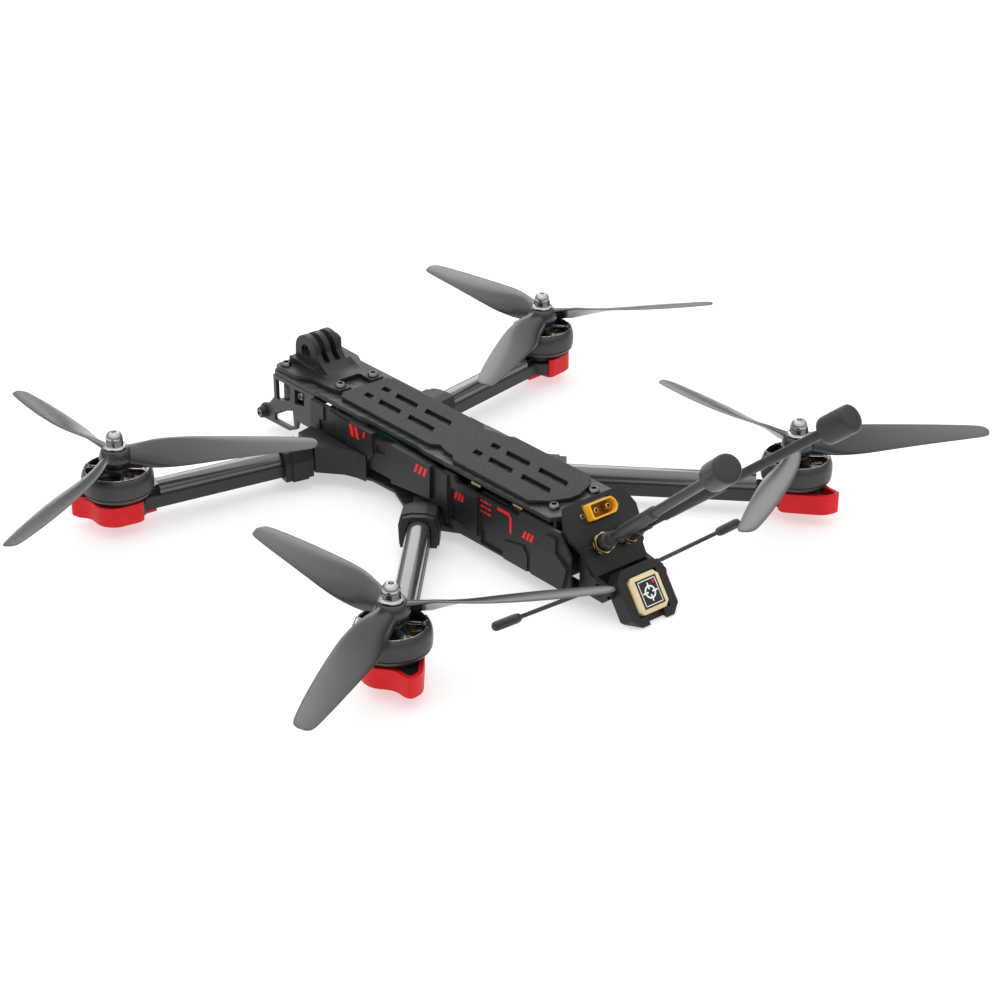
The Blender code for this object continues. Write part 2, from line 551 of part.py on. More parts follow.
def build_tail():
    wall = both_halves([(14.5, -6.6), (17.2, -6.2), (21.2, 3.5), (20.6, 9.0), (17.0, 15.5), (15.8, 27.6)])
    shapes = [in_tail(prism(wall, -3.0, 0.0))]
    cheek = [(99.0, -28.6), (114.5, -28.9), (119.9, -24.5), (119.2, -21.2), (106.0, -18.6), (101.0, -12.0), (99.2, -8.0)]
    for side in (1, -1):
        shapes.append(("+", sided(side_prism(cheek, 14.4, 17.2), side)))
    shapes.append(("+", box(-15.0, 15.0, 99.0, 111.0, -28.6, -26.4)))
    shapes.append(("+", box(-15.0, 15.0, 98.9, 101.4, -28.0, -8.0)))
    shapes.append(("-", box(-12.5, 12.5, 98.0, 103.0, -26.0, -19.5)))
    shapes.append(("-", in_tail(prism([(-8.5, -4.4), (8.5, -4.4), (8.5, 4.4), (-8.5, 4.4)], -8.0, 4.0))))
    for side in (1, -1):
        x = side * ANTENNA_BASE.x
        seat = Vector((x, ANTENNA_BASE.y, ANTENNA_BASE.z))
        aim = Vector((side * ANTENNA_DIRECTION.x, ANTENNA_DIRECTION.y, ANTENNA_DIRECTION.z))
        shapes.append(("-", rod(seat - aim * 12.0, seat + aim * 6.0, 3.5, 16)))
    shapes.append(("-", rod((-30.0, 118.6, -24.6), (30.0, 118.6, -24.6), 1.3, 12)))
    shapes.append(("-", rod((-30.0, 110.5, -22.6), (30.0, 110.5, -22.6), 1.6, 12)))
    piece("tail_bracket", shapes, moulded())

    amber = material("connector_amber", (0.85, 0.42, 0.02), 0.0, 0.35)
    shell = [(-7.0, -3.9), (5.4, -3.9), (7.9, -1.6), (7.9, 1.6), (5.4, 3.9), (-7.9, 3.9), (-7.9, -3.9)]
    shell = [(-x, y) for x, y in reversed(shell[1:])]
    cavity = [(x * 0.86, y * 0.78) for x, y in shell]
    shapes = [in_tail(prism(shell, -3.4, 4.2)), ("-", in_tail(prism(cavity, -2.0, 6.0)))]
    for x in (-3.6, 3.6):
        pin = moved(rod((x, 0.0, -2.8), (x, 0.0, 3.0), 1.5, 14), tail_matrix())
        shapes.append(("+", pin))
    piece("power_connector", shapes, amber)

    brass = gold()
    for side, hand in ((1, "left"), (-1, "right")):
        aim = Vector((side * ANTENNA_DIRECTION.x, ANTENNA_DIRECTION.y, ANTENNA_DIRECTION.z))
        seat = Vector((side * ANTENNA_BASE.x, ANTENNA_BASE.y, ANTENNA_BASE.z))
        turn = Matrix.Translation(seat) @ aim.to_track_quat("Z", "Y").to_matrix().to_4x4()
        barrel = turned([(0.0, -9.0), (3.1, -9.0), (3.1, 0.6), (0.0, 0.6)], (0, 0), 16)
        flats = [(4.9 * math.cos(math.radians(60 * k + 30)), 4.9 * math.sin(math.radians(60 * k + 30)))
                 for k in range(6)]
        piece(f"antenna_socket_{hand}", [moved(barrel, turn), ("+", moved(prism(flats, -1.6, 0.9), turn))], brass)
        stick = [(0.0, 1.3), (3.7, 1.3), (3.7, 6.4), (2.7, 7.2), (2.7, 11.0), (2.3, 11.2), (2.3, 22.0), (2.9, 22.4),
                 (2.9, 58.0), (2.2, 59.0), (2.2, ANTENNA_LENGTH - 16.4), (5.0, ANTENNA_LENGTH - 15.9),
                 (6.3, ANTENNA_LENGTH - 14.6), (6.3, ANTENNA_LENGTH - 1.2), (5.2, ANTENNA_LENGTH),
                 (0.0, ANTENNA_LENGTH)]
        piece(f"video_antenna_{hand}", [moved(turned(stick, (0, 0), 20), turn)],
              material("antenna_black", (0.03, 0.03, 0.032), 0.0, 0.4), seat)

    holder = [(-14.0, 33.0), (-9.5, 28.8), (9.5, 28.8), (14.0, 33.0), (14.0, 51.5), (9.5, 55.8), (-9.5, 55.8),
              (-14.0, 51.5)]
    shapes = [in_tail(prism(list(reversed(holder)), 2.4, 10.8))]
    shapes.append(("-", in_tail(prism([(-9.2, 33.1), (9.2, 33.1), (9.2, 51.5), (-9.2, 51.5)], 5.6, 14.0))))
    shapes.append(("-", in_tail(prism([(-5.0, 49.0), (5.0, 49.0), (5.0, 60.0), (-5.0, 60.0)], 8.4, 14.0))))
    shapes.append(("-", box(-20.0, 20.0, 90.0, 150.0, -60.0, -36.2)))
    piece("gps_holder", shapes, moulded())
    cut = [(-8.8, 36.0), (-6.4, 33.5), (6.4, 33.5), (8.8, 36.0), (8.8, 48.6), (6.4, 51.1), (-6.4, 51.1), (-8.8, 48.6)]
    piece("gps_module", [in_tail(prism(list(reversed(cut)), 5.9, 12.7))],
          material("gps_ceramic", (0.72, 0.6, 0.38), 0.0, 0.5), bevel=0.4)

    for side, hand in ((1, "left"), (-1, "right")):
        shapes = [rod((side * 17.6, 110.5, -22.6), (side * 64.0, 108.4, -22.4), 1.0, 10)]
        shapes.append(("+", rod((side * 17.5, 110.5, -22.6), (side * 21.0, 110.3, -22.6), 1.5, 12)))
        shapes.append(("+", rod((side * 60.0, 108.6, -22.4), (side * 75.0, 107.9, -22.3), 2.2, 12)))
        piece(f"receiver_antenna_{hand}", shapes, material("antenna_black", (0.03, 0.03, 0.032), 0.0, 0.4))


# ---- electronics inside the body ----
def build_electronics():
    board = material("circuit_board", (0.02, 0.06, 0.045), 0.0, 0.5)
    stack = [box(-18.0, 18.0, -22.0, 14.0, -16.0, -14.4)]
    stack.append(("+", box(-7.0, 7.0, -12.0, 4.0, -14.8, -12.6)))
    stack.append(("+", box(-17.0, -12.0, -18.0, -8.0, -14.8, -12.8)))
    stack.append(("+", box(-14.0, 14.0, -20.0, 12.0, -17.2, -15.6)))
    for x in (-15.0, 15.0):
        for y in (-19.0, 11.0):
            stack.append(("+", rod((x, y, -20.3), (x, y, -8.0), 1.8, 10)))
    piece("flight_stack", stack, board)
    sender = [box(-16.0, 16.0, 30.0, 62.0, -16.5, -6.5)]
    for k in range(5):
        y = 33.0 + 6.0 * k
        sender.append(("-", box(-14.0, 14.0, y, y + 3.0, -8.6, -5.0)))
    sender.append(("+", box(-13.0, -9.0, 31.0, 60.0, -20.3, -16.0)))
    sender.append(("+", box(9.0, 13.0, 31.0, 60.0, -20.3, -16.0)))
    piece("video_transmitter", sender, material("sender_alloy", (0.3, 0.3, 0.31), 0.9, 0.4))
    piece("capacitor", [rod((0.0, 67.0, -14.6), (0.0, 89.0, -14.6), 5.6, 20)],
          material("capacitor_sleeve", (0.015, 0.015, 0.02), 0.0, 0.3), bevel=0.4)


def build():
    global ROOT, CUTTERS
    clear_scene()
    ROOT = new_collection("fpv_quadcopter", False)
    CUTTERS = new_collection("cutters", True)
    build_plates()
    build_arms()
    build_shrouds()
    build_guards()
    build_nose()
    build_action_mount()
    build_tail()
    build_electronics()
    build_rotors()


build()
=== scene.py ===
import math

import bmesh
import bpy
from mathutils import Matrix, Vector


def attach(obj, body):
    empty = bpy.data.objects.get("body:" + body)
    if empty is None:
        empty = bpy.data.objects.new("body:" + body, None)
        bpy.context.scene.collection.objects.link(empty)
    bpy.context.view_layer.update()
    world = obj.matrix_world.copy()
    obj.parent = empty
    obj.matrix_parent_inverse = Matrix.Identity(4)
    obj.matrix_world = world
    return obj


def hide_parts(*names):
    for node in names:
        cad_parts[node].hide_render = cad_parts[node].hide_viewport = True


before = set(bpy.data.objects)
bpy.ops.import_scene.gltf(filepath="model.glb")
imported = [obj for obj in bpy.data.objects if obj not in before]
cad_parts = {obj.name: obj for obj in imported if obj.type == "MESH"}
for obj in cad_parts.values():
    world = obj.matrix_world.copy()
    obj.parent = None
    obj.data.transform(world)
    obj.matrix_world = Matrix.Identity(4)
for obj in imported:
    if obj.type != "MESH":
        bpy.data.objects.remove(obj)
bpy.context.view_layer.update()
MM = 0.001
SHIFT = Vector((0.0, -7.2, 36.2))
FRONT_MOTOR = (133.5, -99.1)
REAR_MOTOR = (122.6, 99.1)
FRONT_ARM_DEG = -10.7
REAR_ARM_DEG = 46.1
PROP_RADIUS = 95.25
PROP_PITCH = 104.0
BLADE_ANGLES = (-90.0, 30.0, 150.0)
CAMERA_PIVOT = Vector((0.0, -121.0, -10.6))
TAIL_POINT = Vector((0.0, 92.3, 3.5))
TAIL_TILT = math.radians(35.0)
ANTENNA_BASE = Vector((7.6, 104.6, -5.8))
ANTENNA_DIRECTION = Vector((0.213, 0.745, 0.629)).normalized()
ANTENNA_LENGTH = 133.5
SIDES = ((1, "left"), (-1, "right"))
SIGNS = (1, -1)
LENS_MM = 81.54
CAMERA_PLACE = Vector((614.9, 750.2, 471.9))
CAMERA_AIM = Vector((23.6, 51.7, 0.0))
CAMERA_ROLL_DEG = 0.07
PRINT_LAYER = 0.0003
FLOOR_HALF = 12.0
FLOOR_GAP = 0.0006
FRONT_PANEL_X = 24.4
BOX_PANEL_X = 24.8
REAR_RECESS_X = 22.2
REAR_GUARD_X = 23.2
PRINT_DEPTH = 0.3
PRINT_PROUD = 0.08
ROTORS = (
    ("front_left", FRONT_MOTOR[0], FRONT_MOTOR[1], 1),
    ("front_right", -FRONT_MOTOR[0], FRONT_MOTOR[1], -1),
    ("rear_left", REAR_MOTOR[0], REAR_MOTOR[1], -1),
    ("rear_right", -REAR_MOTOR[0], REAR_MOTOR[1], 1),
)


# ---- camera, light and floor ----
def add_camera():
    lens = bpy.data.cameras.new("photo_camera")
    lens.sensor_width = 36.0
    lens.lens = LENS_MM
    lens.clip_start = 0.01
    lens.clip_end = 50.0
    camera = bpy.data.objects.new("photo_camera", lens)
    look = (CAMERA_AIM - CAMERA_PLACE).to_track_quat("-Z", "Y").to_matrix().to_4x4()
    roll = Matrix.Rotation(math.radians(CAMERA_ROLL_DEG), 4, "Z")
    camera.matrix_world = Matrix.Translation((CAMERA_PLACE + SHIFT) * MM) @ look @ roll
    bpy.context.scene.collection.objects.link(camera)
    bpy.context.scene.camera = camera


def add_light(name, place, aim, size, power):
    lamp = bpy.data.lights.new(name, "AREA")
    lamp.energy = power
    lamp.shape = "SQUARE"
    lamp.size = size
    made = bpy.data.objects.new(name, lamp)
    made.location = place
    made.rotation_euler = (Vector(aim) - Vector(place)).to_track_quat("-Z", "Y").to_euler()
    bpy.context.scene.collection.objects.link(made)


def grey_ramp(tree, source, low, high):
    """Turns a value from 0 to 1 into a grey between two tones."""
    ramp = tree.nodes.new("ShaderNodeValToRGB")
    ramp.color_ramp.elements[0].color = (low, low, low, 1.0)
    ramp.color_ramp.elements[1].color = (high, high, high, 1.0)
    tree.links.new(source, ramp.inputs["Fac"])
    return ramp


def add_world():
    """Soft light, brighter from above; a plain white background where the camera looks straight at it."""
    world = bpy.data.worlds.new("studio")
    world.use_nodes = True
    tree = world.node_tree
    glow = tree.nodes["Background"]
    glow.inputs["Strength"].default_value = 1.0
    split = tree.nodes.new("ShaderNodeSeparateXYZ")
    tree.links.new(tree.nodes.new("ShaderNodeTexCoord").outputs["Generated"], split.inputs[0])
    ramp = grey_ramp(tree, split.outputs["Z"], 0.3, 1.3)
    ramp.color_ramp.interpolation = "EASE"
    ramp.color_ramp.elements[0].position = 0.12
    ramp.color_ramp.elements[1].position = 0.62
    pick = tree.nodes.new("ShaderNodeMix")
    pick.data_type = "RGBA"
    tree.links.new(tree.nodes.new("ShaderNodeLightPath").outputs["Is Camera Ray"], pick.inputs[0])
    tree.links.new(ramp.outputs["Color"], pick.inputs[6])
    pick.inputs[7].default_value = (1.0, 1.0, 1.0, 1.0)
    tree.links.new(pick.outputs[2], glow.inputs["Color"])
    bpy.context.scene.world = world
    bpy.context.scene.view_settings.view_transform = "Standard"


def floor_white():
    pale = bpy.data.materials.new("floor_white")
    pale.use_nodes = True
    tree = pale.node_tree
    shader = tree.nodes["Principled BSDF"]
    shader.inputs["Roughness"].default_value = 0.9
    shader.inputs["Emission Color"].default_value = (1.0, 1.0, 1.0, 1.0)
    shader.inputs["Emission Strength"].default_value = 0.5
    noise = tree.nodes.new("ShaderNodeTexNoise")
    noise.inputs["Scale"].default_value = 1.5
    ramp = grey_ramp(tree, noise.outputs["Fac"], 0.53, 0.56)
    tree.links.new(ramp.outputs["Color"], shader.inputs["Base Color"])
    return pale


def add_floor():
    mesh = bpy.data.meshes.new("floor")
    half = FLOOR_HALF
    corners = [(-half, -half, 0), (half, -half, 0), (half, half, 0), (-half, half, 0)]
    mesh.from_pydata(corners, [], [(0, 1, 2, 3)])
    mesh.materials.append(floor_white())
    floor = bpy.data.objects.new("floor", mesh)
    floor.location.z = -FLOOR_GAP
    bpy.context.scene.collection.objects.link(floor)


def add_studio():
    add_world()
    add_light("overhead", (0.2, -0.2, 1.6), (0.0, 0.0, 0.0), 2.0, 6.0)
    add_light("key", (-0.9, -1.2, 0.8), (0.0, 0.0, 0.03), 0.9, 4.0)
    add_floor()


# ---- materials ----
class Nodes:
    """A short way to write a node material: every call adds one node and links its inputs."""

    def __init__(self, name):
        self.material = bpy.data.materials.new(name)
        self.material.use_nodes = True
        self.tree = self.material.node_tree
        self.shader = self.tree.nodes["Principled BSDF"]
        self.place = self.tree.nodes.new("ShaderNodeTexCoord").outputs["Object"]

    def put(self, socket, value):
        if isinstance(value, bpy.types.NodeSocket):
            self.tree.links.new(value, socket)
        else:
            socket.default_value = value

    def math(self, operation, a, b=0.0):
        node = self.tree.nodes.new("ShaderNodeMath")
        node.operation = operation
        self.put(node.inputs[0], a)
        self.put(node.inputs[1], b)
        return node.outputs[0]

    def noise(self, scale, detail=3.0, stretch=None):
        node = self.tree.nodes.new("ShaderNodeTexNoise")
        node.inputs["Scale"].default_value = scale
        node.inputs["Detail"].default_value = detail
        place = self.place
        if stretch:
            squeeze = self.tree.nodes.new("ShaderNodeVectorMath")
            squeeze.operation = "MULTIPLY"
            self.put(squeeze.inputs[0], place)
            squeeze.inputs[1].default_value = stretch
            place = squeeze.outputs[0]
        self.put(node.inputs["Vector"], place)
        return node.outputs["Fac"]

    def spread(self, value, low, high, start=0.3, stop=0.7):
        node = self.tree.nodes.new("ShaderNodeMapRange")
        self.put(node.inputs["Value"], value)
        for name, number in (("From Min", start), ("From Max", stop), ("To Min", low), ("To Max", high)):
            self.put(node.inputs[name], number)
        return node.outputs["Result"]

    def blend(self, factor, first, second):
        node = self.tree.nodes.new("ShaderNodeMix")
        node.data_type = "RGBA"
        self.put(node.inputs[0], factor)
        self.put(node.inputs[6], first if isinstance(first, bpy.types.NodeSocket) else (*first, 1.0))
        self.put(node.inputs[7], second if isinstance(second, bpy.types.NodeSocket) else (*second, 1.0))
        return node.outputs[2]

    def edges(self, radius):
        """(normal rounded at the edges, how near an edge the point is from 0 to 1)."""
        soft = self.tree.nodes.new("ShaderNodeBevel")
        soft.samples = 4
        soft.inputs["Radius"].default_value = radius
        plain = self.tree.nodes.new("ShaderNodeNewGeometry").outputs["Normal"]
        same = self.tree.nodes.new("ShaderNodeVectorMath")
        same.operation = "DOT_PRODUCT"
        self.put(same.inputs[0], soft.outputs[0])
        self.put(same.inputs[1], plain)
        near = self.spread(same.outputs["Value"], 1.0, 0.0, 0.9, 0.995)
        return soft.outputs[0], near

    def bump(self, height, strength, depth, normal=None):
        node = self.tree.nodes.new("ShaderNodeBump")
        node.inputs["Strength"].default_value = strength
        node.inputs["Distance"].default_value = depth
        self.put(node.inputs["Height"], height)
        if normal is not None:
            self.put(node.inputs["Normal"], normal)
        return node.outputs[0]

    def finish(self, colour=None, roughness=None, normal=None, **sockets):
        if colour is not None:
            self.put(self.shader.inputs["Base Color"], colour)
        if roughness is not None:
            self.put(self.shader.inputs["Roughness"], roughness)
        if normal is not None:
            self.put(self.shader.inputs["Normal"], normal)
        for name, value in sockets.items():
            self.shader.inputs[name.replace("_", " ")].default_value = value
        return self.material


def tinted(colour, factor):
    return tuple(min(1.0, c * factor) for c in colour)


def moulded(name, colour, rough, grain=0.25, edge_highlight=0.5, radius=0.0004, metal=0.0, coat=0.0, fine=5200.0,
            shine=0.3):
    """Moulded or cast surface: fine grain, slow colour change, and a painted highlight that lightens the
    edges in patches.
    """
    n = Nodes(name)
    soft, near = n.edges(radius)
    # painted highlight: the edges are lightened in patches where light catches them
    painted_edge_highlight = n.math("MULTIPLY", near, n.spread(n.noise(420.0), 0.0, edge_highlight, 0.35, 0.65))
    cloudy = n.blend(n.spread(n.noise(55.0, 4.0), 0.0, 1.0), tinted(colour, 0.86), tinted(colour, 1.14))
    shade = n.blend(painted_edge_highlight, cloudy, tinted(tuple(c + 0.02 for c in colour), 1.9))
    height = n.noise(fine, 2.0)
    return n.finish(shade, n.spread(n.noise(900.0), rough - 0.06, rough + 0.07),
                    n.bump(height, grain, 0.00005, soft), Metallic=metal, Coat_Weight=coat,
                    Specular_IOR_Level=shine)


def carbon_weave(name, tow=0.0019, rough=0.4):
    """Two-by-two twill: strands cross over two and under two, each with its own fine fibres; warp tows and
    fibre streaks are painted lighter as a painted sheen.
    """
    n = Nodes(name)
    split = n.tree.nodes.new("ShaderNodeSeparateXYZ")
    n.put(split.inputs[0], n.place)
    u = n.math("MULTIPLY", n.math("ADD", split.outputs["X"], 3.0), 1.0 / tow)
    v = n.math("MULTIPLY", n.math("ADD", split.outputs["Y"], 3.0), 1.0 / tow)
    step = n.math("MODULO", n.math("ADD", n.math("FLOOR", u), n.math("FLOOR", v)), 4.0)
    warp = n.math("LESS_THAN", step, 2.0)
    across_u = n.math("SINE", n.math("MULTIPLY", n.math("FRACT", u), math.pi))
    across_v = n.math("SINE", n.math("MULTIPLY", n.math("FRACT", v), math.pi))
    crown = n.math("ADD", n.math("MULTIPLY", warp, across_u),
                   n.math("MULTIPLY", n.math("SUBTRACT", 1.0, warp), across_v))
    fibres_along = n.noise(900.0, 2.0, (9.0, 0.8, 1.0))
    fibres_across = n.noise(900.0, 2.0, (0.8, 9.0, 1.0))
    fibres = n.math("ADD", n.math("MULTIPLY", warp, fibres_along),
                    n.math("MULTIPLY", n.math("SUBTRACT", 1.0, warp), fibres_across))
    # painted sheen: warp tows are painted lighter than weft tows
    shade = n.blend(warp, (0.012, 0.012, 0.013), (0.036, 0.037, 0.039))
    # painted highlight: fibre streaks lighten the colour
    shade = n.blend(n.spread(fibres, 0.0, 0.5), shade, (0.07, 0.07, 0.072))
    height = n.math("ADD", crown, n.math("MULTIPLY", fibres, 0.5))
    soft = n.edges(0.0003)[0]
    facing = n.tree.nodes.new("ShaderNodeSeparateXYZ")
    n.put(facing.inputs[0], n.tree.nodes.new("ShaderNodeNewGeometry").outputs["Normal"])
    flat = n.math("GREATER_THAN", n.math("ABSOLUTE", facing.outputs["Z"]), 0.6)
    layers = n.math("SINE", n.math("MULTIPLY", split.outputs["Z"], 2.0 * math.pi / 0.00045))
    edge = n.blend(n.spread(layers, 0.0, 1.0, -1.0, 1.0), (0.022, 0.022, 0.022), (0.038, 0.038, 0.038))
    shade = n.blend(flat, edge, shade)
    height = n.math("ADD", n.math("MULTIPLY", flat, height), n.math("MULTIPLY", layers, 0.12))
    return n.finish(shade, n.spread(fibres, rough - 0.08, rough + 0.12), n.bump(height, 0.35, 0.00012, soft),
                    Specular_IOR_Level=0.35)


def metal(name, colour, rough, brush=(1.0, 1.0, 9.0), radius=0.0002, edge_highlight=0.6):
    n = Nodes(name)
    soft, near = n.edges(radius)
    lines = n.noise(1800.0, 2.0, brush)
    shade = n.blend(n.spread(lines, 0.0, 1.0), tinted(colour, 0.88), tinted(colour, 1.1))
    # painted highlight: the edges are lightened, most of all on the screws' rims
    shade = n.blend(n.math("MULTIPLY", near, edge_highlight), shade, tinted(tuple(c + 0.05 for c in colour), 1.6))
    return n.finish(shade, n.spread(lines, rough - 0.04, rough + 0.06), n.bump(lines, 0.04, 0.00002, soft),
                    Metallic=1.0)


def prop_plastic():
    n = Nodes("prop_polycarbonate")
    ripple = n.noise(38.0, 2.0)
    reach = n.tree.nodes.new("ShaderNodeAttribute")
    reach.attribute_name = "reach"
    tip_highlight_reach = n.spread(reach.outputs["Fac"], 0.0, 1.0, 0.35, 1.0)
    # painted highlight: the blades are painted lighter towards the tips
    shade = n.blend(tip_highlight_reach, (0.018, 0.018, 0.0185), (0.085, 0.085, 0.086))
    shade = n.blend(n.math("MULTIPLY", ripple, 0.08), shade, (0.09, 0.09, 0.09))
    rough = n.math("ADD", n.math("MULTIPLY", ripple, 0.04), n.spread(tip_highlight_reach, 0.22, 0.31, 0.0, 1.0))
    return n.finish(shade, rough, None, Specular_IOR_Level=0.6)


def printed_tpu():
    """Red flexible print: thin level layers, slightly uneven, with a soft sheen."""
    n = Nodes("red_tpu")
    soft, near = n.edges(0.0006)
    split = n.tree.nodes.new("ShaderNodeSeparateXYZ")
    n.put(split.inputs[0], n.place)
    wobble = n.math("MULTIPLY", n.noise(300.0), 0.00012)
    level = n.math("ADD", split.outputs["Z"], wobble)
    layers = n.math("SINE", n.math("MULTIPLY", level, 2.0 * math.pi / PRINT_LAYER))
    shade = n.blend(n.spread(n.noise(90.0, 4.0), 0.0, 1.0), (0.6, 0.006, 0.008), (0.7, 0.01, 0.012))
    # painted highlight: the edges are lightened to a brighter red
    shade = n.blend(n.math("MULTIPLY", near, 0.2), shade, (0.85, 0.03, 0.03))
    return n.finish(shade, n.spread(n.noise(1200.0), 0.42, 0.54), n.bump(layers, 0.14, 0.00005, soft),
                    Specular_IOR_Level=0.25)


def striped(name, first, second, pitch, rough, metallic, axis="Z"):
    """Parallel strands or ridges, such as enamelled wire; the crests are painted lighter and the grooves
    darker, as painted highlight and shade.
    """
    n = Nodes(name)
    split = n.tree.nodes.new("ShaderNodeSeparateXYZ")
    n.put(split.inputs[0], n.place)
    wave = n.math("SINE", n.math("MULTIPLY", split.outputs[axis], 2.0 * math.pi / pitch))
    # painted light: the colour follows the ridges, lighter on the crests and darker in the grooves
    shade = n.blend(n.spread(wave, 0.0, 1.0, -1.0, 1.0), first, second)
    return n.finish(shade, n.spread(n.noise(900.0), rough - 0.05, rough + 0.08),
                    n.bump(wave, 0.3, pitch * 0.2), Metallic=metallic)


def glass(name, colour, rough):
    n = Nodes(name)
    shade = n.blend(n.spread(n.noise(200.0), 0.0, 1.0), tinted(colour, 0.8), colour)
    return n.finish(shade, n.spread(n.noise(500.0), rough, rough + 0.05), None, Coat_Weight=1.0,
                    Coat_Roughness=0.02, IOR=1.6)


def make_materials():
    return {
        "carbon": carbon_weave("carbon_twill"),
        "body": moulded("moulded_black", (0.0155, 0.0155, 0.016), 0.42, 0.2, 0.3, shine=0.3),
        "cover": moulded("arm_cover_gloss", (0.05, 0.05, 0.052), 0.2, 0.02, 0.3, coat=0.8, shine=0.7),
        "pad": moulded("pad_rubber", (0.017, 0.017, 0.0168), 0.55, 0.4, 0.2, 0.0006, fine=3600.0, shine=0.25),
        "tpu": printed_tpu(),
        "nose": moulded("nose_plate_satin", (0.055, 0.055, 0.055), 0.34, 0.1, 0.5, metal=0.2),
        "camera": moulded("camera_black", (0.018, 0.018, 0.02), 0.36, 0.15, 0.5),
        "amber": moulded("connector_amber", (0.86, 0.4, 0.012), 0.3, 0.08, 0.3, coat=0.3),
        # painted shade: a darker copy of the amber for the socket's recess
        "amber_recess_shade": moulded("connector_amber_recess_shade", (0.24, 0.09, 0.004), 0.4, 0.08, 0.0),
        "gold": metal("gold_plate", (0.52, 0.39, 0.15), 0.24, edge_highlight=0.1),
        "antenna": moulded("antenna_black", (0.028, 0.028, 0.029), 0.36, 0.12, 0.2, coat=0.1),
        "ceramic": moulded("gps_ceramic", (0.76, 0.62, 0.36), 0.55, 0.2, 0.2, fine=2500.0),
        "board": moulded("circuit_board", (0.012, 0.035, 0.028), 0.35, 0.1, 0.1, coat=0.4),
        "alloy": metal("sender_alloy", (0.3, 0.3, 0.31), 0.4),
        "sleeve": moulded("capacitor_sleeve", (0.015, 0.015, 0.02), 0.25, 0.05, 0.1, coat=0.4),
        "bell": moulded("bell_gunmetal", (0.05, 0.05, 0.051), 0.36, 0.04, 0.3, 0.0003, metal=0.45, shine=0.4),
        "stator": moulded("stator_core", (0.03, 0.028, 0.026), 0.45, 0.1, 0.3, metal=0.5),
        "copper": striped("copper_windings", (0.14, 0.07, 0.02), (0.42, 0.25, 0.08), 0.0005, 0.3, 1.0),
        "steel": metal("nut_steel", (0.4, 0.4, 0.4), 0.16),
        # the screws get the strongest painted highlight on their edges
        "screw": metal("screw_steel", (0.16, 0.16, 0.165), 0.2, edge_highlight=0.9),
        # near-black: painted shade in the screw sockets and the nut's hole, and the real dark collar of the
        # antenna socket
        "dark": moulded("black_with_socket_shade", (0.004, 0.004, 0.004), 0.5, 0.05, 0.0),
        "prop": prop_plastic(),
        "red": moulded("print_red", (0.85, 0.01, 0.012), 0.4, 0.05, 0.0),
        "white": moulded("print_white", (0.85, 0.85, 0.83), 0.4, 0.05, 0.0),
        "label": moulded("label_black", (0.02, 0.02, 0.02), 0.35, 0.05, 0.0),
        "teal": moulded("wire_teal", (0.0, 0.045, 0.055), 0.4, 0.05, 0.0),
        "wire_red": moulded("wire_red", (0.22, 0.006, 0.006), 0.4, 0.05, 0.0),
        "wire_black": moulded("wire_black", (0.015, 0.015, 0.015), 0.4, 0.05, 0.0),
        "lens": glass("lens_glass", (0.01, 0.012, 0.03), 0.02),
    }


CAD_LOOKS = (
    ("carbon", ("bottom_plate", "mid_plate", "top_plate", "arm_front_", "arm_rear_")),
    ("body", ("arm_collar_", "arm_shroud_", "side_guard_", "nose_bar")),
    ("body", ("action_camera_mount", "tail_bracket", "gps_holder")),
    ("cover", ("arm_cover_",)),
    ("tpu", ("landing_pad_",)),
    ("pad", ("battery_pad",)),
    ("nose", ("camera_plate_",)),
    ("camera", ("fpv_camera",)),
    ("amber", ("power_connector",)),
    ("gold", ("antenna_socket_",)),
    ("antenna", ("video_antenna_", "receiver_antenna_")),
    ("ceramic", ("gps_module",)),
    ("board", ("flight_stack",)),
    ("alloy", ("video_transmitter",)),
    ("sleeve", ("capacitor",)),
    ("stator", ("motor_base_",)),
    ("bell", ("motor_bell_",)),
    ("prop", ("propeller_",)),
    ("steel", ("prop_nut_",)),
)


def dress_cad(looks):
    for name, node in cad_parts.items():
        for look, starts in CAD_LOOKS:
            if name.startswith(starts):
                for slot in node.material_slots:
                    slot.material = looks[look]


# ---- shapes: (points, faces) in millimetres of the drone frame ----
def prism(outline, low, high):
    count = len(outline)
    points = [Vector((x, y, low)) for x, y in outline] + [Vector((x, y, high)) for x, y in outline]
    faces = [tuple(reversed(range(count))), tuple(range(count, 2 * count))]
    for i in range(count):
        j = (i + 1) % count
        faces.append((i, j, count + j, count + i))
    return points, faces


def box(x0, x1, y0, y1, z0, z1):
    return prism([(x0, y0), (x1, y0), (x1, y1), (x0, y1)], z0, z1)


def side_prism(outline, x_low, x_high):
    points, faces = prism(outline, x_low, x_high)
    return [Vector((p.z, p.x, p.y)) for p in points], faces


def moved(shape, matrix):
    points, faces = shape
    turned_over = matrix.to_3x3().determinant() < 0
    return [matrix @ p for p in points], [tuple(reversed(f)) for f in faces] if turned_over else faces


def sided(shape, side):
    return shape if side > 0 else moved(shape, Matrix.Scale(-1, 4, Vector((1, 0, 0))))


def lathe(profile, steps, ring=False):
    """(radius, z) from bottom to top turned about Z; a ring joins its last point to its first."""
    points, faces, loops = [], [], []
    for radius, z in profile:
        start = len(points)
        if radius == 0.0:
            points.append(Vector((0, 0, z)))
            loops.append([start])
            continue
        for i in range(steps):
            a = 2 * math.pi * i / steps
            points.append(Vector((radius * math.cos(a), radius * math.sin(a), z)))
        loops.append(list(range(start, start + steps)))
    pairs = list(zip(loops, loops[1:]))
    if ring:
        pairs.append((loops[-1], loops[0]))
    for low, high in pairs:
        for i in range(steps):
            j = (i + 1) % steps
            first = [low[0]] if len(low) == 1 else [low[i], low[j]]
            second = [high[0]] if len(high) == 1 else [high[j], high[i]]
            if len(first) + len(second) > 2:
                faces.append(tuple(first + second))
    return points, faces


def at(x, y, z=0.0):
    return Matrix.Translation((x, y, z))


def aimed(place, direction):
    return Matrix.Translation(place) @ Vector(direction).to_track_quat("Z", "Y").to_matrix().to_4x4()


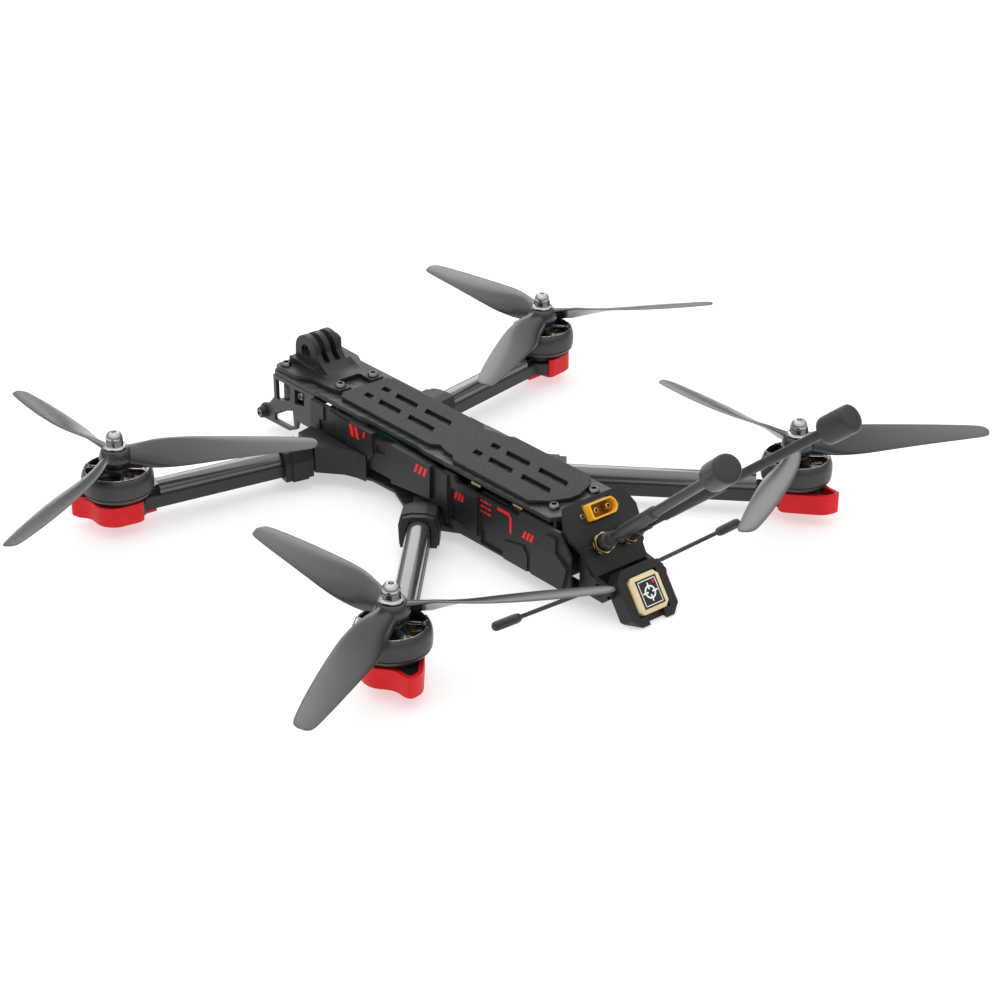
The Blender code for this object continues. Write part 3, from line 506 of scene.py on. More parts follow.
def swept(path, radius, steps=10, per_span=8):
    """A round wire through the path's points, rounded between them."""
    path = [Vector(p) for p in path]
    ends = [path[0] * 2 - path[1]] + path + [path[-1] * 2 - path[-2]]
    line = []
    for a, b, c, d in zip(ends, ends[1:], ends[2:], ends[3:]):
        for k in range(per_span):
            t = k / per_span
            line.append(0.5 * (2 * b + (c - a) * t + (2 * a - 5 * b + 4 * c - d) * t * t
                               + (3 * b - a - 3 * c + d) * t ** 3))
    line.append(path[-1])
    points, faces = [], []
    normal = None
    for i, p in enumerate(line):
        along = (line[min(i + 1, len(line) - 1)] - line[max(i - 1, 0)]).normalized()
        if normal is None:
            normal = along.orthogonal().normalized()
        normal = (normal - along * normal.dot(along)).normalized()
        other = along.cross(normal)
        for k in range(steps):
            a = 2 * math.pi * k / steps
            points.append(p + radius * (math.cos(a) * normal + math.sin(a) * other))
    for i in range(len(line) - 1):
        for k in range(steps):
            j = (k + 1) % steps
            faces.append((i * steps + k, i * steps + j, (i + 1) * steps + j, (i + 1) * steps + k))
    faces.append(tuple(reversed(range(steps))))
    faces.append(tuple(range((len(line) - 1) * steps, len(line) * steps)))
    return points, faces


def tail_matrix():
    down = Vector((0.0, math.sin(TAIL_TILT), -math.cos(TAIL_TILT)))
    out = Vector((0.0, math.cos(TAIL_TILT), math.sin(TAIL_TILT)))
    turn = Matrix((Vector((1.0, 0.0, 0.0)), down, out)).transposed().to_4x4()
    return Matrix.Translation(TAIL_POINT) @ turn


def in_tail(shape):
    return moved(shape, tail_matrix())


def arm_matrix(motor, degrees, side, flip):
    place = Matrix.Translation((motor[0], motor[1], 0)) @ Matrix.Rotation(math.radians(degrees), 4, "Z")
    if flip:
        place = place @ Matrix.Scale(-1, 4, Vector((0, 1, 0)))
    return place if side > 0 else Matrix.Scale(-1, 4, Vector((1, 0, 0))) @ place


def make(name, parts, body, stands_for=(), bevel=0.0, smooth=35.0):
    """One piece. parts is a list of (shape, material); each part keeps its own material."""
    points, faces, picks, surfaces = [], [], [], []
    for shape, surface in parts:
        if surface not in surfaces:
            surfaces.append(surface)
        start = len(points)
        points.extend((p + SHIFT) * MM for p in shape[0])
        for face in shape[1]:
            faces.append(tuple(start + i for i in face))
            picks.append(surfaces.index(surface))
    mesh = bpy.data.meshes.new(name)
    mesh.from_pydata([tuple(p) for p in points], [], faces)
    for surface in surfaces:
        mesh.materials.append(surface)
    mesh.polygons.foreach_set("material_index", picks)
    mesh.polygons.foreach_set("use_smooth", [True] * len(faces))
    mesh.update()
    mesh.set_sharp_from_angle(angle=math.radians(smooth))
    made = bpy.data.objects.new(name, mesh)
    bpy.context.scene.collection.objects.link(made)
    if bevel:
        edge = made.modifiers.new("edge", "BEVEL")
        edge.width = bevel * MM
        edge.segments = 2
        edge.limit_method = "ANGLE"
        edge.angle_limit = math.radians(40)
    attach(made, body)
    if stands_for:
        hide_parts(*stands_for)
    return made


# ---- rotors ----
def eased(table, t):
    """Smooth values between the rows of a table of (t, a, b), by cubic Hermite steps."""
    for k in range(len(table) - 1):
        if t <= table[k + 1][0]:
            break
    width = table[k + 1][0] - table[k][0]
    u = (t - table[k][0]) / width
    out = []
    for c in range(1, len(table[0])):
        def slope(i):
            low, high = max(i - 1, 0), min(i + 1, len(table) - 1)
            return (table[high][c] - table[low][c]) / (table[high][0] - table[low][0])
        a, b = table[k][c], table[k + 1][c]
        out.append(a + slope(k) * width * (u - 2 * u * u + u ** 3) + (b - a) * (3 * u * u - 2 * u ** 3)
                   + slope(k + 1) * width * (u ** 3 - u * u))
    return out


BLADE = [(4.2, 11.0, 3.6), (9.0, 12.0, 3.2), (16.0, 14.2, 2.5), (26.0, 16.8, 1.9), (36.0, 17.6, 1.6),
         (50.0, 16.6, 1.4), (64.0, 14.9, 1.2), (77.0, 12.8, 1.0), (87.0, 10.6, 0.9), (92.0, 8.9, 0.8),
         (94.4, 6.4, 0.7), (PROP_RADIUS, 2.6, 0.6)]


def blade_shape(hand, rows=44, around=20):
    points, faces = [], []
    for r in range(rows + 1):
        radius = 4.2 + (PROP_RADIUS - 4.2) * (1 - (1 - r / rows) ** 1.7)
        chord, thick = eased(BLADE, radius)
        pitch = math.atan(PROP_PITCH / (2 * math.pi * max(radius, 18.0)))
        back = 1.6 * (radius / PROP_RADIUS) ** 3
        lift = 0.4 * math.sin(math.pi * radius / PROP_RADIUS)
        for k in range(around):
            a = 2 * math.pi * k / around
            along = 0.5 * math.cos(a)
            hump = 1.0 - (2 * along) ** 2
            swell, crown = (0.62, 0.45) if math.sin(a) >= 0 else (0.28, 0.3)
            high = swell * math.sin(a) + crown * hump
            forward = along * chord * math.cos(pitch) - high * thick * math.sin(pitch) - back
            up = along * chord * math.sin(pitch) + high * thick * math.cos(pitch) + lift
            points.append(Vector((radius, hand * forward, up)))
    for r in range(rows):
        for k in range(around):
            j = (k + 1) % around
            face = (r * around + k, r * around + j, (r + 1) * around + j, (r + 1) * around + k)
            faces.append(face if hand < 0 else tuple(reversed(face)))
    ends = (tuple(range(around)), tuple(reversed(range(rows * around, (rows + 1) * around))))
    for face in ends:
        faces.append(face if hand > 0 else tuple(reversed(face)))
    return points, faces


def spoke(inner, outer, half_in, half_out, low, high):
    outline = [(inner, -half_in), (outer - 3.0, -half_in * 0.75), (outer, -half_out), (outer, half_out),
               (outer - 3.0, half_in * 0.75), (inner, half_in)]
    return prism(outline, low, high)


def mark_reach(propeller, x, y):
    """Stores each vertex's distance from the motor's axis, 1 at the tip, for the material's painted
    highlight, which lightens the blades towards the tips.
    """
    axis = (Vector((x, y, 0.0)) + SHIFT) * MM
    store = propeller.data.attributes.new("reach", "FLOAT", "POINT")
    for vertex, value in zip(propeller.data.vertices, store.data):
        value.value = math.hypot(vertex.co.x - axis.x, vertex.co.y - axis.y) / (PROP_RADIUS * MM)


def blades(where, x, y, hand, looks):
    here = at(x, y)
    hub = [(2.6, -3.5), (6.2, -3.5), (7.0, -3.1), (7.6, -2.3), (8.0, -0.6), (7.8, 1.4), (7.2, 3.2),
           (6.6, 4.4), (5.9, 5.0), (4.2, 5.1), (3.9, 4.6), (2.6, 4.6)]
    parts = [(moved(lathe(hub, 56, ring=True), here), looks["prop"])]
    for angle in BLADE_ANGLES:
        spin = here @ Matrix.Rotation(math.radians(angle), 4, "Z")
        parts.append((moved(blade_shape(hand), spin), looks["prop"]))
    propeller = make("propeller_smooth_" + where, parts, "rotor_" + where,
                     ["propeller_" + where])
    mark_reach(propeller, x, y)


def motor_bell(where, here, looks):
    bell = [(15.6, -15.4), (16.8, -15.4), (17.05, -15.1), (17.2, -13.0), (17.2, -10.4), (17.05, -9.0),
            (16.75, -7.9), (16.3, -6.9), (15.8, -6.1), (15.3, -5.65), (14.9, -5.6), (14.6, -5.9),
            (14.5, -7.2), (15.4, -8.1)]
    shaft = [(0.0, -20.0), (2.2, -20.0), (2.2, -8.6), (5.2, -8.2), (6.0, -7.6), (6.2, -5.6), (5.8, -4.6),
             (4.8, -4.1), (2.2, -4.0), (2.2, 10.9), (1.9, 11.3), (0.0, 11.3)]
    lip = [(14.75, -5.75), (15.35, -5.75), (15.35, -5.5), (14.75, -5.5)]
    notch = [(0.0, -5.6), (1.1, -5.6), (1.1, -5.1), (0.6, -5.1), (0.6, -5.5), (0.0, -5.5)]
    parts = [(moved(lathe(bell, 72, ring=True), here), looks["bell"]),
             (moved(lathe(shaft, 40), here), looks["bell"])]
    # painted highlight: a thin bright steel ring along the top rim of the bell
    parts.append((moved(lathe(lip, 72, ring=True), here), looks["steel"]))
    for k in range(6):
        spin = here @ Matrix.Rotation(math.radians(60 * k + 15), 4, "Z")
        parts.append((moved(spoke(5.0, 15.6, 1.5, 3.2, -7.4, -5.6), spin), looks["bell"]))
        for edge in SIGNS:
            rail = [(5.6, 1.62), (12.4, 1.3), (15.4, 3.3), (15.3, 2.6), (12.7, 0.75), (5.6, 1.05)]
            rail = [(px, edge * py) for px, py in rail]
            rail = rail if edge < 0 else list(reversed(rail))
            parts.append((moved(prism(rail, -6.8, -5.3), spin), looks["steel"]))
        parts.append((moved(lathe(notch, 20), spin @ at(13.6, 0.0)), looks["steel"]))
    make("motor_bell_smooth_" + where, parts, "rotor_" + where, ["motor_bell_" + where])


def nut_outline(radius, corner, start=0):
    """A hexagon whose corners are cut by this many degrees to either side."""
    angles = [math.radians(60 * k + start + turn) for k in range(6) for turn in (-corner, corner)]
    return [(radius * math.cos(a), radius * math.sin(a)) for a in angles]


def prop_nut(where, here, looks):
    flange = [(2.5, 5.3), (5.2, 5.3), (5.5, 5.5), (5.5, 6.0), (5.1, 6.4), (4.0, 6.7), (2.5, 6.7)]
    cap = [(1.2, 9.0), (3.3, 9.0), (3.9, 9.4), (4.1, 9.9), (4.0, 10.7), (3.7, 11.5), (3.2, 12.3), (2.6, 12.8),
           (1.9, 13.1), (1.4, 13.1), (1.2, 12.8)]
    # painted shade: a near-black disc inside the hole at the top of the nut
    hole_shade = [(0.0, 11.4), (1.15, 11.4), (1.15, 12.0), (0.0, 12.0)]
    parts = [(moved(lathe(flange, 40, ring=True), here), looks["steel"])]
    parts.append((moved(lathe(cap, 40, ring=True), here), looks["steel"]))
    parts.append((moved(prism(nut_outline(4.45, 5), 6.3, 9.3), here), looks["screw"]))
    parts.append((moved(lathe(hole_shade, 24), here), looks["dark"]))
    make("prop_nut_smooth_" + where, parts, "rotor_" + where, ["prop_nut_" + where])


def rotor(where, x, y, hand, looks):
    blades(where, x, y, hand, looks)
    motor_bell(where, at(x, y), looks)
    prop_nut(where, at(x, y), looks)


def winding(x0, x1, half, low, high, radius):
    """One coil: turns of wire side by side along a stator tooth."""
    turns = int((x1 - x0) / (2 * radius))
    points, faces = [], []
    loop = []
    for cy, cz, first in ((half, high, 0), (-half, high, 90), (-half, low, 180), (half, low, 270)):
        for k in (0, 45, 90):
            a = math.radians(first + k)
            loop.append(Vector((0.0, cy + 0.5 * math.cos(a), cz + 0.5 * math.sin(a))))
    middle = Vector((0.0, 0.0, (low + high) / 2))
    for t in range(turns):
        x = x0 + (2 * t + 1) * radius
        start = len(points)
        for p in loop:
            out = (p - middle).normalized()
            for k in range(6):
                a = 2 * math.pi * k / 6
                points.append(p + out * radius * math.cos(a) + Vector((x + radius * math.sin(a), 0, 0)))
        size = len(loop)
        for i in range(size):
            j = (i + 1) % size
            for k in range(6):
                m = (k + 1) % 6
                faces.append((start + i * 6 + k, start + i * 6 + m, start + j * 6 + m, start + j * 6 + k))
    return points, faces


def motor_base(where, x, y, side, flip, degrees, motor, looks):
    here = at(x, y)
    foot = [(2.6, -22.4), (9.9, -22.4), (10.3, -22.1), (10.3, -21.0), (9.7, -20.2), (9.4, -19.7),
            (10.6, -19.6), (12.6, -19.3), (14.3, -18.7), (15.6, -17.9), (16.4, -17.0), (16.8, -16.2),
            (16.85, -15.75), (16.4, -15.7), (15.0, -16.2), (9.0, -16.8), (5.0, -16.8), (5.0, -9.4),
            (2.6, -9.4)]
    parts = [(moved(lathe(foot, 48, ring=True), here), looks["bell"])]
    core = [(4.9, -14.4), (7.4, -14.4), (7.4, -10.6), (4.9, -10.6)]
    parts.append((moved(lathe(core, 36, ring=True), here), looks["stator"]))
    shoe = [(13.4, -2.6), (14.5, -3.0), (14.7, 0.0), (14.5, 3.0), (13.4, 2.6)]
    for k in range(12):
        spin = here @ Matrix.Rotation(math.radians(30 * k), 4, "Z")
        parts.append((moved(box(7.0, 13.6, -0.9, 0.9, -14.0, -10.8), spin), looks["stator"]))
        parts.append((moved(prism(shoe, -14.3, -10.6), spin), looks["stator"]))
        parts.append((moved(winding(7.6, 13.4, 1.0, -13.8, -11.2, 0.42), spin), looks["copper"]))
    lead = arm_matrix(motor, degrees, side, flip)
    for k in (-1, 0, 1):
        path = [(-9.6, 2.4 * k, -19.9), (-11.6, 2.2 * k, -20.9), (-14.4, 1.7 * k, -21.2),
                (-18.4, 1.6 * k, -21.0)]
        parts.append((swept([lead @ Vector(p) for p in path], 0.72), looks["wire_black"]))
    make("motor_base_wound_" + where, parts, "airframe", ["motor_base_" + where])


def arm_covers(looks):
    for side, hand in SIDES:
        for end, motor, degrees, flip, start, stop in (
            ("front", FRONT_MOTOR, FRONT_ARM_DEG, True, 18.8, 82.5),
            ("rear", REAR_MOTOR, REAR_ARM_DEG, False, 18.8, 110.5),
        ):
            matrix = arm_matrix(motor, degrees, side, flip)
            outline = []
            for k in range(25):
                a = math.pi * k / 24
                square = 1.0 + 0.1 * math.sin(2 * a) ** 2
                outline.append((5.4 * math.cos(a) * square ** 0.5, -21.6 + 4.9 * math.sin(a) * square ** 0.5))
            outline += [(-5.4, -22.4), (5.4, -22.4)]
            parts = [(moved(side_prism(outline, -stop, -start), matrix), looks["cover"])]
            for y in (5.35, -5.35):
                lip = box(-stop, -start, y - 0.25, y + 0.25, -22.5, -21.7)
                parts.append((moved(lip, matrix), looks["body"]))
            where = f"{end}_{hand}"
            make("arm_cover_smooth_" + where, parts, "airframe",
                 ["arm_cover_" + where], smooth=30)


# ---- fasteners ----
def button_screw(radius, height):
    """Dome-headed screw with a real hexagon socket, standing on z = 0."""
    socket = radius * 0.52
    steps = 48
    profile = [(0.0, -0.2), (radius * 0.96, -0.2), (radius * 0.96, 0.0), (radius, height * 0.16),
               (radius * 0.93, height * 0.5), (radius * 0.78, height * 0.8), (radius * 0.62, height * 0.97),
               (socket * 1.12, height)]
    points, faces = lathe(profile, steps)
    start = len(points)
    for z in (height * 0.96, height * 0.3):
        for i in range(steps):
            a = 2 * math.pi * i / steps
            reach = socket * math.cos(math.pi / 6) / math.cos((a % (math.pi / 3)) - math.pi / 6)
            points.append(Vector((reach * math.cos(a), reach * math.sin(a), z)))
    last = start - steps
    for i in range(steps):
        j = (i + 1) % steps
        faces.append((last + i, last + j, start + j, start + i))
        faces.append((start + i, start + j, start + steps + j, start + steps + i))
    faces.append(tuple(start + steps + i for i in range(steps)))
    return points, faces


def screws(name, places, radius, height, looks, body="airframe"):
    parts = []
    for place, direction in places:
        here = aimed(place, direction)
        parts.append((moved(button_screw(radius, height), here), looks["screw"]))
        # painted shade: a near-black disc at the bottom of the hex socket
        floor = [(0.0, height * 0.2), (radius * 0.44, height * 0.2), (radius * 0.44, height * 0.34),
                 (0.0, height * 0.34)]
        parts.append((moved(lathe(floor, 24), here), looks["dark"]))
    return make(name, parts, body)


UP = (0, 0, 1)


def deck_details(looks):
    places = []
    for side in SIGNS:
        places.append(((side * 10.2, -87.4, 4.6), UP))
        places.append(((side * 15.6, -126.2, 4.6), UP))
        places.append(((side * 10.1, -2.6, 2.1), UP))
        places.append(((side * 12.1, 75.8, 2.1), UP))
    screws("deck_screws", places, 2.9, 1.9, looks)
    below = []
    for side in SIGNS:
        for y in (-88.0, -46.0, -12.0, 24.0, 58.0, 88.0):
            below.append(((side * 13.0, y, -31.2), (0, 0, -1)))
    screws("belly_screws", below, 2.8, 1.7, looks)
    posts = []
    for side in SIGNS:
        for x, y in ((10.2, -87.4), (10.1, -2.6), (12.1, 75.8)):
            profile = [(0.0, -20.4), (2.2, -20.4), (2.5, -20.0), (2.5, -14.0), (2.1, -13.6), (2.1, -7.4),
                       (2.5, -7.0), (2.5, -1.1), (2.2, -0.7), (0.0, -0.7)]
            posts.append((moved(lathe(profile, 20), at(side * x, y)), looks["alloy"]))
    make("deck_standoffs", posts, "airframe")


def dashes(y, z, size, lean, count, gap):
    """Slanted strokes on a side wall, in (y, z)."""
    out = []
    for k in range(count):
        y0 = y + k * gap
        out.append([(y0, z), (y0 + size * 0.4, z), (y0 + size * 0.4 + lean, z + size), (y0 + lean, z + size)])
    return out


def printed(outline, face, side):
    """A thin mark, a little proud of a wall that stands this far from the middle plane."""
    return sided(side_prism(outline, face - PRINT_DEPTH, face + PRINT_PROUD), side)


def side_prints(looks):
    for side, hand in SIDES:
        parts = []
        for face, outlines in (
            (FRONT_PANEL_X, dashes(-60.2, -8.4, 6.0, -1.5, 2, 4.1)),
            (FRONT_PANEL_X, dashes(-51.0, -6.0, 3.4, 1.0, 1, 0.0)),
            (BOX_PANEL_X, dashes(-10.4, -8.6, 4.8, 2.2, 3, 3.3)),
            (REAR_RECESS_X, dashes(16.4, -13.2, 4.4, 2.0, 3, 2.5)),
            (REAR_GUARD_X, dashes(66.6, -13.4, 4.2, 1.8, 3, 2.5)),
        ):
            for outline in outlines:
                parts.append((printed(outline, face, side), looks["red"]))
        for row, lengths in enumerate(((1.6, 3.0, 1.2), (2.6, 1.2, 2.0), (1.2, 1.8, 2.8))):
            y = 37.4
            for length in lengths:
                z = -5.2 - 2.7 * row
                outline = [(y, z - 1.0), (y + length, z - 1.0), (y + length, z), (y, z)]
                parts.append((printed(outline, REAR_GUARD_X, side), looks["red"]))
                y += length + 0.8
        frame_line = [(49.4, -4.6), (57.6, -4.6), (59.4, -6.4), (59.4, -14.6), (57.9, -14.6), (57.9, -7.0),
                      (57.0, -6.1), (49.4, -6.1)]
        parts.append((printed(frame_line, REAR_GUARD_X, side), looks["red"]))
        make("side_prints_" + hand, parts, "airframe")
        joint = sided(box(19.8, 20.75, 7.6, 12.2, -21.0, -2.4), side)
        make("guard_joint_strip_" + hand, [(joint, looks["body"])], "airframe")
        contacts = []
        for y in (29.0, 58.5):
            contacts.append((sided(box(20.95, 22.0, y, y + 6.5, -0.9, 0.2), side), looks["gold"]))
        make("edge_contacts_" + hand, contacts, "airframe", bevel=0.15)


# ---- CAD pieces shown as copies with joined vertices, so that their round faces shade smoothly ----
SMOOTHED = (
    ("action_camera_mount", "body", "airframe", "moulded_black"),
    ("nose_bar", "body", "airframe", "moulded_black"),
    ("landing_pad_", "tpu", "airframe", "red_tpu"),
    ("fpv_camera", "camera", "camera", "camera_black"),
)
WELD = 1e-6


def smooth_copies(looks):
    for start, look, body, slot in SMOOTHED:
        for name in sorted(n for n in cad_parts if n.startswith(start)):
            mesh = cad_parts[name].data.copy()
            joined = bmesh.new()
            joined.from_mesh(mesh)
            bmesh.ops.remove_doubles(joined, verts=joined.verts, dist=WELD)
            bmesh.ops.dissolve_limit(joined, angle_limit=math.radians(0.5), verts=joined.verts,
                                     edges=joined.edges)
            joined.to_mesh(mesh)
            joined.free()
            mesh.materials.clear()
            mesh.materials.append(looks[look])
            mesh.polygons.foreach_set("material_index", [0] * len(mesh.polygons))
            mesh.polygons.foreach_set("use_smooth", [True] * len(mesh.polygons))
            mesh.set_sharp_from_angle(angle=math.radians(30))
            copy = bpy.data.objects.new(name + "_smooth", mesh)
            bpy.context.scene.collection.objects.link(copy)
            even = copy.modifiers.new("even", "WEIGHTED_NORMAL")
            even.keep_sharp = True
            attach(copy, body)
            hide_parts(name)


# ---- tail ----
def connector(looks):
    outer = [(-5.4, -3.9), (7.0, -3.9), (7.6, -3.6), (7.9, -3.0), (7.9, 3.0), (7.6, 3.6), (7.0, 3.9),
             (-5.4, 3.9), (-6.6, 3.2), (-7.5, 2.1), (-7.9, 1.0), (-7.9, -1.0), (-7.5, -2.1), (-6.6, -3.2)]
    inner = [(x * 0.86, y * 0.76) for x, y in outer]
    count = len(outer)
    rings = [(outer, -3.4), (outer, 4.0), ([(x * 0.985, y * 0.97) for x, y in outer], 4.2),
             ([(x * 0.88, y * 0.79) for x, y in outer], 4.2), (inner, 4.0), (inner, -1.6)]
    points = [Vector((x, y, n)) for outline, n in rings for x, y in outline]
    faces = [tuple(reversed(range(count)))]
    for r in range(len(rings) - 1):
        for i in range(count):
            j = (i + 1) % count
            faces.append((r * count + i, r * count + j, (r + 1) * count + j, (r + 1) * count + i))
    faces.append(tuple(range((len(rings) - 1) * count, len(rings) * count)))
    # painted shade: a darker amber sheet at the floor of the socket's recess
    recess_shade_sheet = [(x * 0.85, y * 0.75) for x, y in outer]
    parts = [(in_tail((points, faces)), looks["amber"]),
             (in_tail(prism(recess_shade_sheet, -1.7, -1.5)), looks["amber_recess_shade"])]
    pin = [(0.0, -1.6), (1.5, -1.6), (1.5, 2.3), (1.3, 2.7), (0.9, 2.8), (0.8, 2.6), (0.8, 0.8), (0.0, 0.8)]
    for x in (-3.6, 3.6):
        parts.append((in_tail(moved(lathe(pin, 28), at(x, 0.0))), looks["gold"]))
    make("power_socket", parts, "airframe", ["power_connector"], smooth=40)
    matrix = tail_matrix()
    out = matrix.to_3x3() @ Vector((0, 0, 1))
    ears = [(matrix @ Vector((x, 0.4, 0.0)), out) for x in (-10.4, 10.4)]
    screws("tail_screws", ears, 1.5, 0.9, looks)
    walls = [((side * 17.0, 97.0, -7.8), (side, 0, 0)) for side in SIGNS]
    screws("tail_side_screws", walls, 1.8, 0.7, looks)


def video_antenna(hand, turn, looks):
    length = ANTENNA_LENGTH
    stick = [(0.0, 1.3), (3.5, 1.3), (3.7, 1.6), (3.7, 6.1), (3.4, 6.5), (2.7, 6.9), (2.7, 8.2),
             (2.95, 8.4), (2.95, 9.6), (2.7, 9.8), (2.7, 11.0), (2.95, 11.2), (2.95, 12.4), (2.5, 12.7),
             (2.4, 22.0), (2.9, 22.6), (2.9, 24.0), (3.0, 57.0), (2.9, 58.2), (2.2, 59.0),
             (2.2, length - 16.6), (2.6, length - 16.2), (4.6, length - 15.9), (5.7, length - 15.4),
             (6.2, length - 14.4), (6.3, length - 13.2), (6.3, length - 1.6), (6.1, length - 0.7),
             (5.6, length - 0.2), (4.8, length), (0.0, length)]
    parts = [(moved(lathe(stick, 48), turn), looks["antenna"])]
    make("video_antenna_smooth_" + hand, parts, "antenna_" + hand, ["video_antenna_" + hand])


def antenna_socket(hand, turn, looks):
    """Threaded barrel with its hexagon, washer and dark collar."""
    barrel = [(0.0, -9.0), (3.0, -9.0)]
    for k in range(9):
        barrel += [(3.0, -8.6 + 0.7 * k), (3.15, -8.25 + 0.7 * k)]
    barrel += [(3.0, -2.0), (3.0, 0.9), (0.0, 0.9)]
    collar = [(3.75, 0.5), (4.3, 0.5), (4.3, 0.95), (3.75, 0.95)]
    washer = [(3.0, -2.2), (4.7, -2.2), (4.7, -1.7), (3.0, -1.7)]
    parts = [(moved(lathe(barrel, 36), turn), looks["gold"])]
    parts.append((moved(prism(nut_outline(4.95, 4, 30), -1.6, 0.7), turn), looks["gold"]))
    parts.append((moved(lathe(collar, 40, ring=True), turn), looks["dark"]))
    parts.append((moved(lathe(washer, 40, ring=True), turn), looks["gold"]))
    make("antenna_socket_threaded_" + hand, parts, "airframe", ["antenna_socket_" + hand])


def whisker(side, hand, looks):
    start = Vector((side * 17.6, 110.5, -22.6))
    stop = Vector((side * 75.0, 107.9, -22.3))
    long = (stop - start).length
    tube = [(0.0, 0.0), (1.5, 0.0), (1.5, 2.6), (1.0, 3.4), (1.0, long - 15.6), (1.3, long - 15.0),
            (2.0, long - 14.0), (2.25, long - 12.4), (2.25, long - 2.0), (2.0, long - 0.7),
            (1.4, long - 0.1), (0.0, long)]
    parts = [(moved(lathe(tube, 28), aimed(start, stop - start)), looks["antenna"])]
    make("receiver_whisker_" + hand, parts, "airframe", ["receiver_antenna_" + hand])


def antennas(looks):
    for side, hand in SIDES:
        aim = Vector((side * ANTENNA_DIRECTION.x, ANTENNA_DIRECTION.y, ANTENNA_DIRECTION.z))
        seat = Vector((side * ANTENNA_BASE.x, ANTENNA_BASE.y, ANTENNA_BASE.z))
        turn = aimed(seat, aim)
        video_antenna(hand, turn, looks)
        antenna_socket(hand, turn, looks)
        whisker(side, hand, looks)


def gps(looks):
    def rounded(half_x, low, high, cut):
        return [(-half_x, low + cut), (-half_x + cut, low), (half_x - cut, low), (half_x, low + cut),
                (half_x, high - cut), (half_x - cut, high), (-half_x + cut, high), (-half_x, high - cut)]
    rings = [(rounded(8.8, 33.5, 51.1, 2.4), 5.9), (rounded(8.8, 33.5, 51.1, 2.4), 11.6),
             (rounded(8.1, 34.2, 50.4, 2.3), 12.5), (rounded(7.0, 35.3, 49.3, 2.0), 12.55)]
    points = [Vector((x, t, n)) for outline, n in rings for x, t in outline]
    faces = [tuple(range(8))]
    for r in range(3):
        for i in range(8):
            j = (i + 1) % 8
            faces.append((r * 8 + j, r * 8 + i, (r + 1) * 8 + i, (r + 1) * 8 + j))
    faces.append(tuple(reversed(range(24, 32))))
    parts = [(in_tail((points, [tuple(reversed(f)) for f in faces])), looks["ceramic"])]
    parts.append((in_tail(box(-6.1, 6.1, 35.7, 48.9, 12.4, 12.72)), looks["label"]))
    for x0, x1, t0, t1 in ((-5.2, 5.2, 36.5, 36.9), (-5.2, 5.2, 47.7, 48.1), (-5.2, -4.8, 36.5, 48.1),
                           (4.8, 5.2, 36.5, 48.1)):
        parts.append((in_tail(box(x0, x1, t0, t1, 12.6, 12.78)), looks["white"]))
    ring = [(2.3, 12.6), (3.1, 12.6), (3.1, 12.8), (2.3, 12.8)]
    parts.append((in_tail(moved(lathe(ring, 32, ring=True), at(0.0, 42.3))), looks["white"]))
    for x0, x1, t0, t1 in ((-0.35, 0.35, 38.0, 41.2), (-0.35, 0.35, 43.4, 46.6), (-4.3, -1.1, 41.95, 42.65),
                           (1.1, 4.3, 41.95, 42.65)):
        parts.append((in_tail(box(x0, x1, t0, t1, 12.6, 12.79)), looks["white"]))
    parts.append((in_tail(box(-4.3, -2.9, 37.4, 38.8, 12.6, 12.8)), looks["red"]))
    make("gps_receiver", parts, "airframe", ["gps_module"], smooth=30)


# ---- nose ----
def nose(looks):
    front = CAMERA_PIVOT
    turn = aimed(front, (0, -1, 0))
    barrel = [(7.3, 6.0), (7.3, 9.4), (6.9, 9.8), (6.1, 9.9), (6.1, 10.4), (6.3, 10.6), (6.3, 11.2),
              (6.1, 11.4), (6.1, 12.2), (5.8, 12.55), (5.2, 12.6), (4.6, 12.0), (4.3, 11.4)]
    parts = [(moved(lathe(barrel, 56, ring=True), turn), looks["camera"])]
    dome = [(0.0, 10.8), (4.35, 10.8), (4.35, 11.3), (3.6, 11.75), (2.5, 12.15), (1.2, 12.35), (0.0, 12.4)]
    parts.append((moved(lathe(dome, 48), turn), looks["lens"]))
    make("camera_lens", parts, "camera")
    sides = []
    for side in SIGNS:
        sides.append(((side * 16.8, front.y + 1.6, front.z + 4.8), (side, 0, 0)))
        sides.append(((side * 16.8, front.y + 4.4, front.z - 2.4), (side, 0, 0)))
    screws("camera_body_screws", sides, 1.7, 1.0, looks, "camera")
    outside = []
    for side in SIGNS:
        outside.append(((side * 20.4, front.y + 14.0, front.z + 5.6), (side, 0, 0)))
        outside.append(((side * 23.4, -140.6, -25.0), (side, 0, 0)))
    screws("nose_screws", outside, 2.0, 1.1, looks)


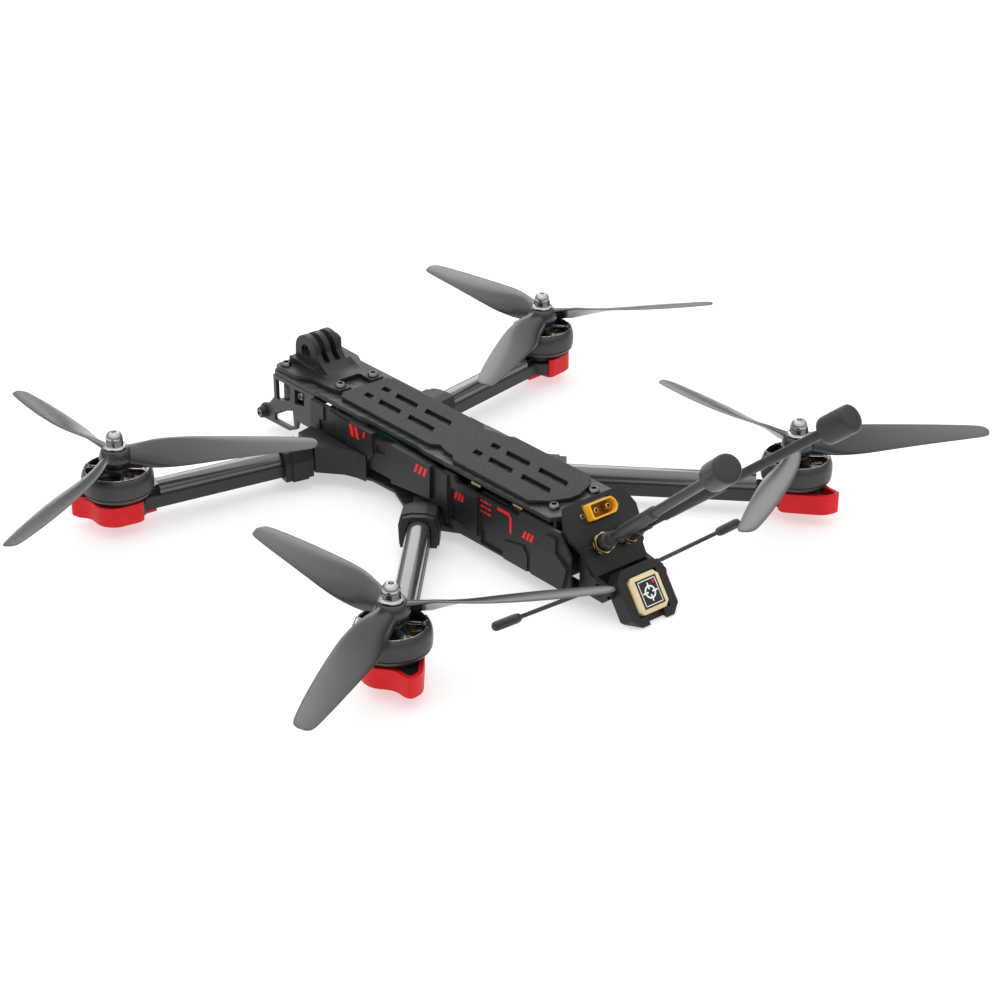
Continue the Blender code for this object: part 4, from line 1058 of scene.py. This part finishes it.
# ---- wiring seen through the body's openings ----
def wiring(looks):
    parts = []
    for k, look in enumerate(("teal", "wire_black", "teal", "wire_red", "wire_black")):
        x = 15.6 - 1.6 * k
        path = [(x, -66.0, -9.0), (x + 1.2, -54.0, -4.6), (x + 1.6, -40.0, -3.4 - 0.4 * (k % 2)),
                (x + 0.6, -26.0, -6.0), (x - 3.0, -16.0, -11.5)]
        parts.append((swept(path, 0.7), looks[look]))
        back = [(-px, py, pz) for px, py, pz in path]
        parts.append((swept(back, 0.7), looks[look]))
    for side, look in ((1, "wire_red"), (-1, "wire_black")):
        path = [(side * 3.6, 89.0, 0.0), (side * 5.0, 82.0, -4.0), (side * 12.0, 72.0, -8.0),
                (side * 17.6, 56.0, -8.6), (side * 17.6, 30.0, -9.0), (side * 15.0, 18.0, -11.5)]
        parts.append((swept(path, 1.9, 14), looks[look]))
    make("body_wiring", parts, "airframe")
    chips = []
    for x0, x1, y0, y1, z0, z1 in ((-6.0, 6.0, -11.0, 3.0, -12.7, -12.2),
                                   (8.0, 12.5, -6.0, -1.5, -14.5, -13.4),
                                   (8.5, 14.5, 2.0, 6.0, -14.5, -13.0),
                                   (-14.0, -8.5, 4.0, 9.5, -14.5, -13.3),
                                   (-12.0, -8.6, -6.0, -1.0, -14.5, -13.7)):
        chips.append((box(x0, x1, y0, y1, z0, z1), looks["label"]))
    for k in range(7):
        chips.append((box(16.2, 17.6, -16.0 + 4.0 * k, -14.6 + 4.0 * k, -14.5, -14.2), looks["gold"]))
        chips.append((box(-17.6, -16.2, -6.0 + 2.6 * k, -4.8 + 2.6 * k, -14.5, -14.2), looks["gold"]))
    make("board_components", chips, "airframe", bevel=0.12)


def build():
    add_camera()
    add_studio()
    looks = make_materials()
    dress_cad(looks)
    for where, x, y, hand in ROTORS:
        rotor(where, x, y, hand, looks)
        side = 1 if x > 0 else -1
        front = where.startswith("front")
        motor = FRONT_MOTOR if front else REAR_MOTOR
        motor_base(where, x, y, side, front, FRONT_ARM_DEG if front else REAR_ARM_DEG, motor, looks)
    arm_covers(looks)
    deck_details(looks)
    side_prints(looks)
    smooth_copies(looks)
    connector(looks)
    antennas(looks)
    gps(looks)
    nose(looks)
    wiring(looks)


build()
bpy.context.view_layer.update()
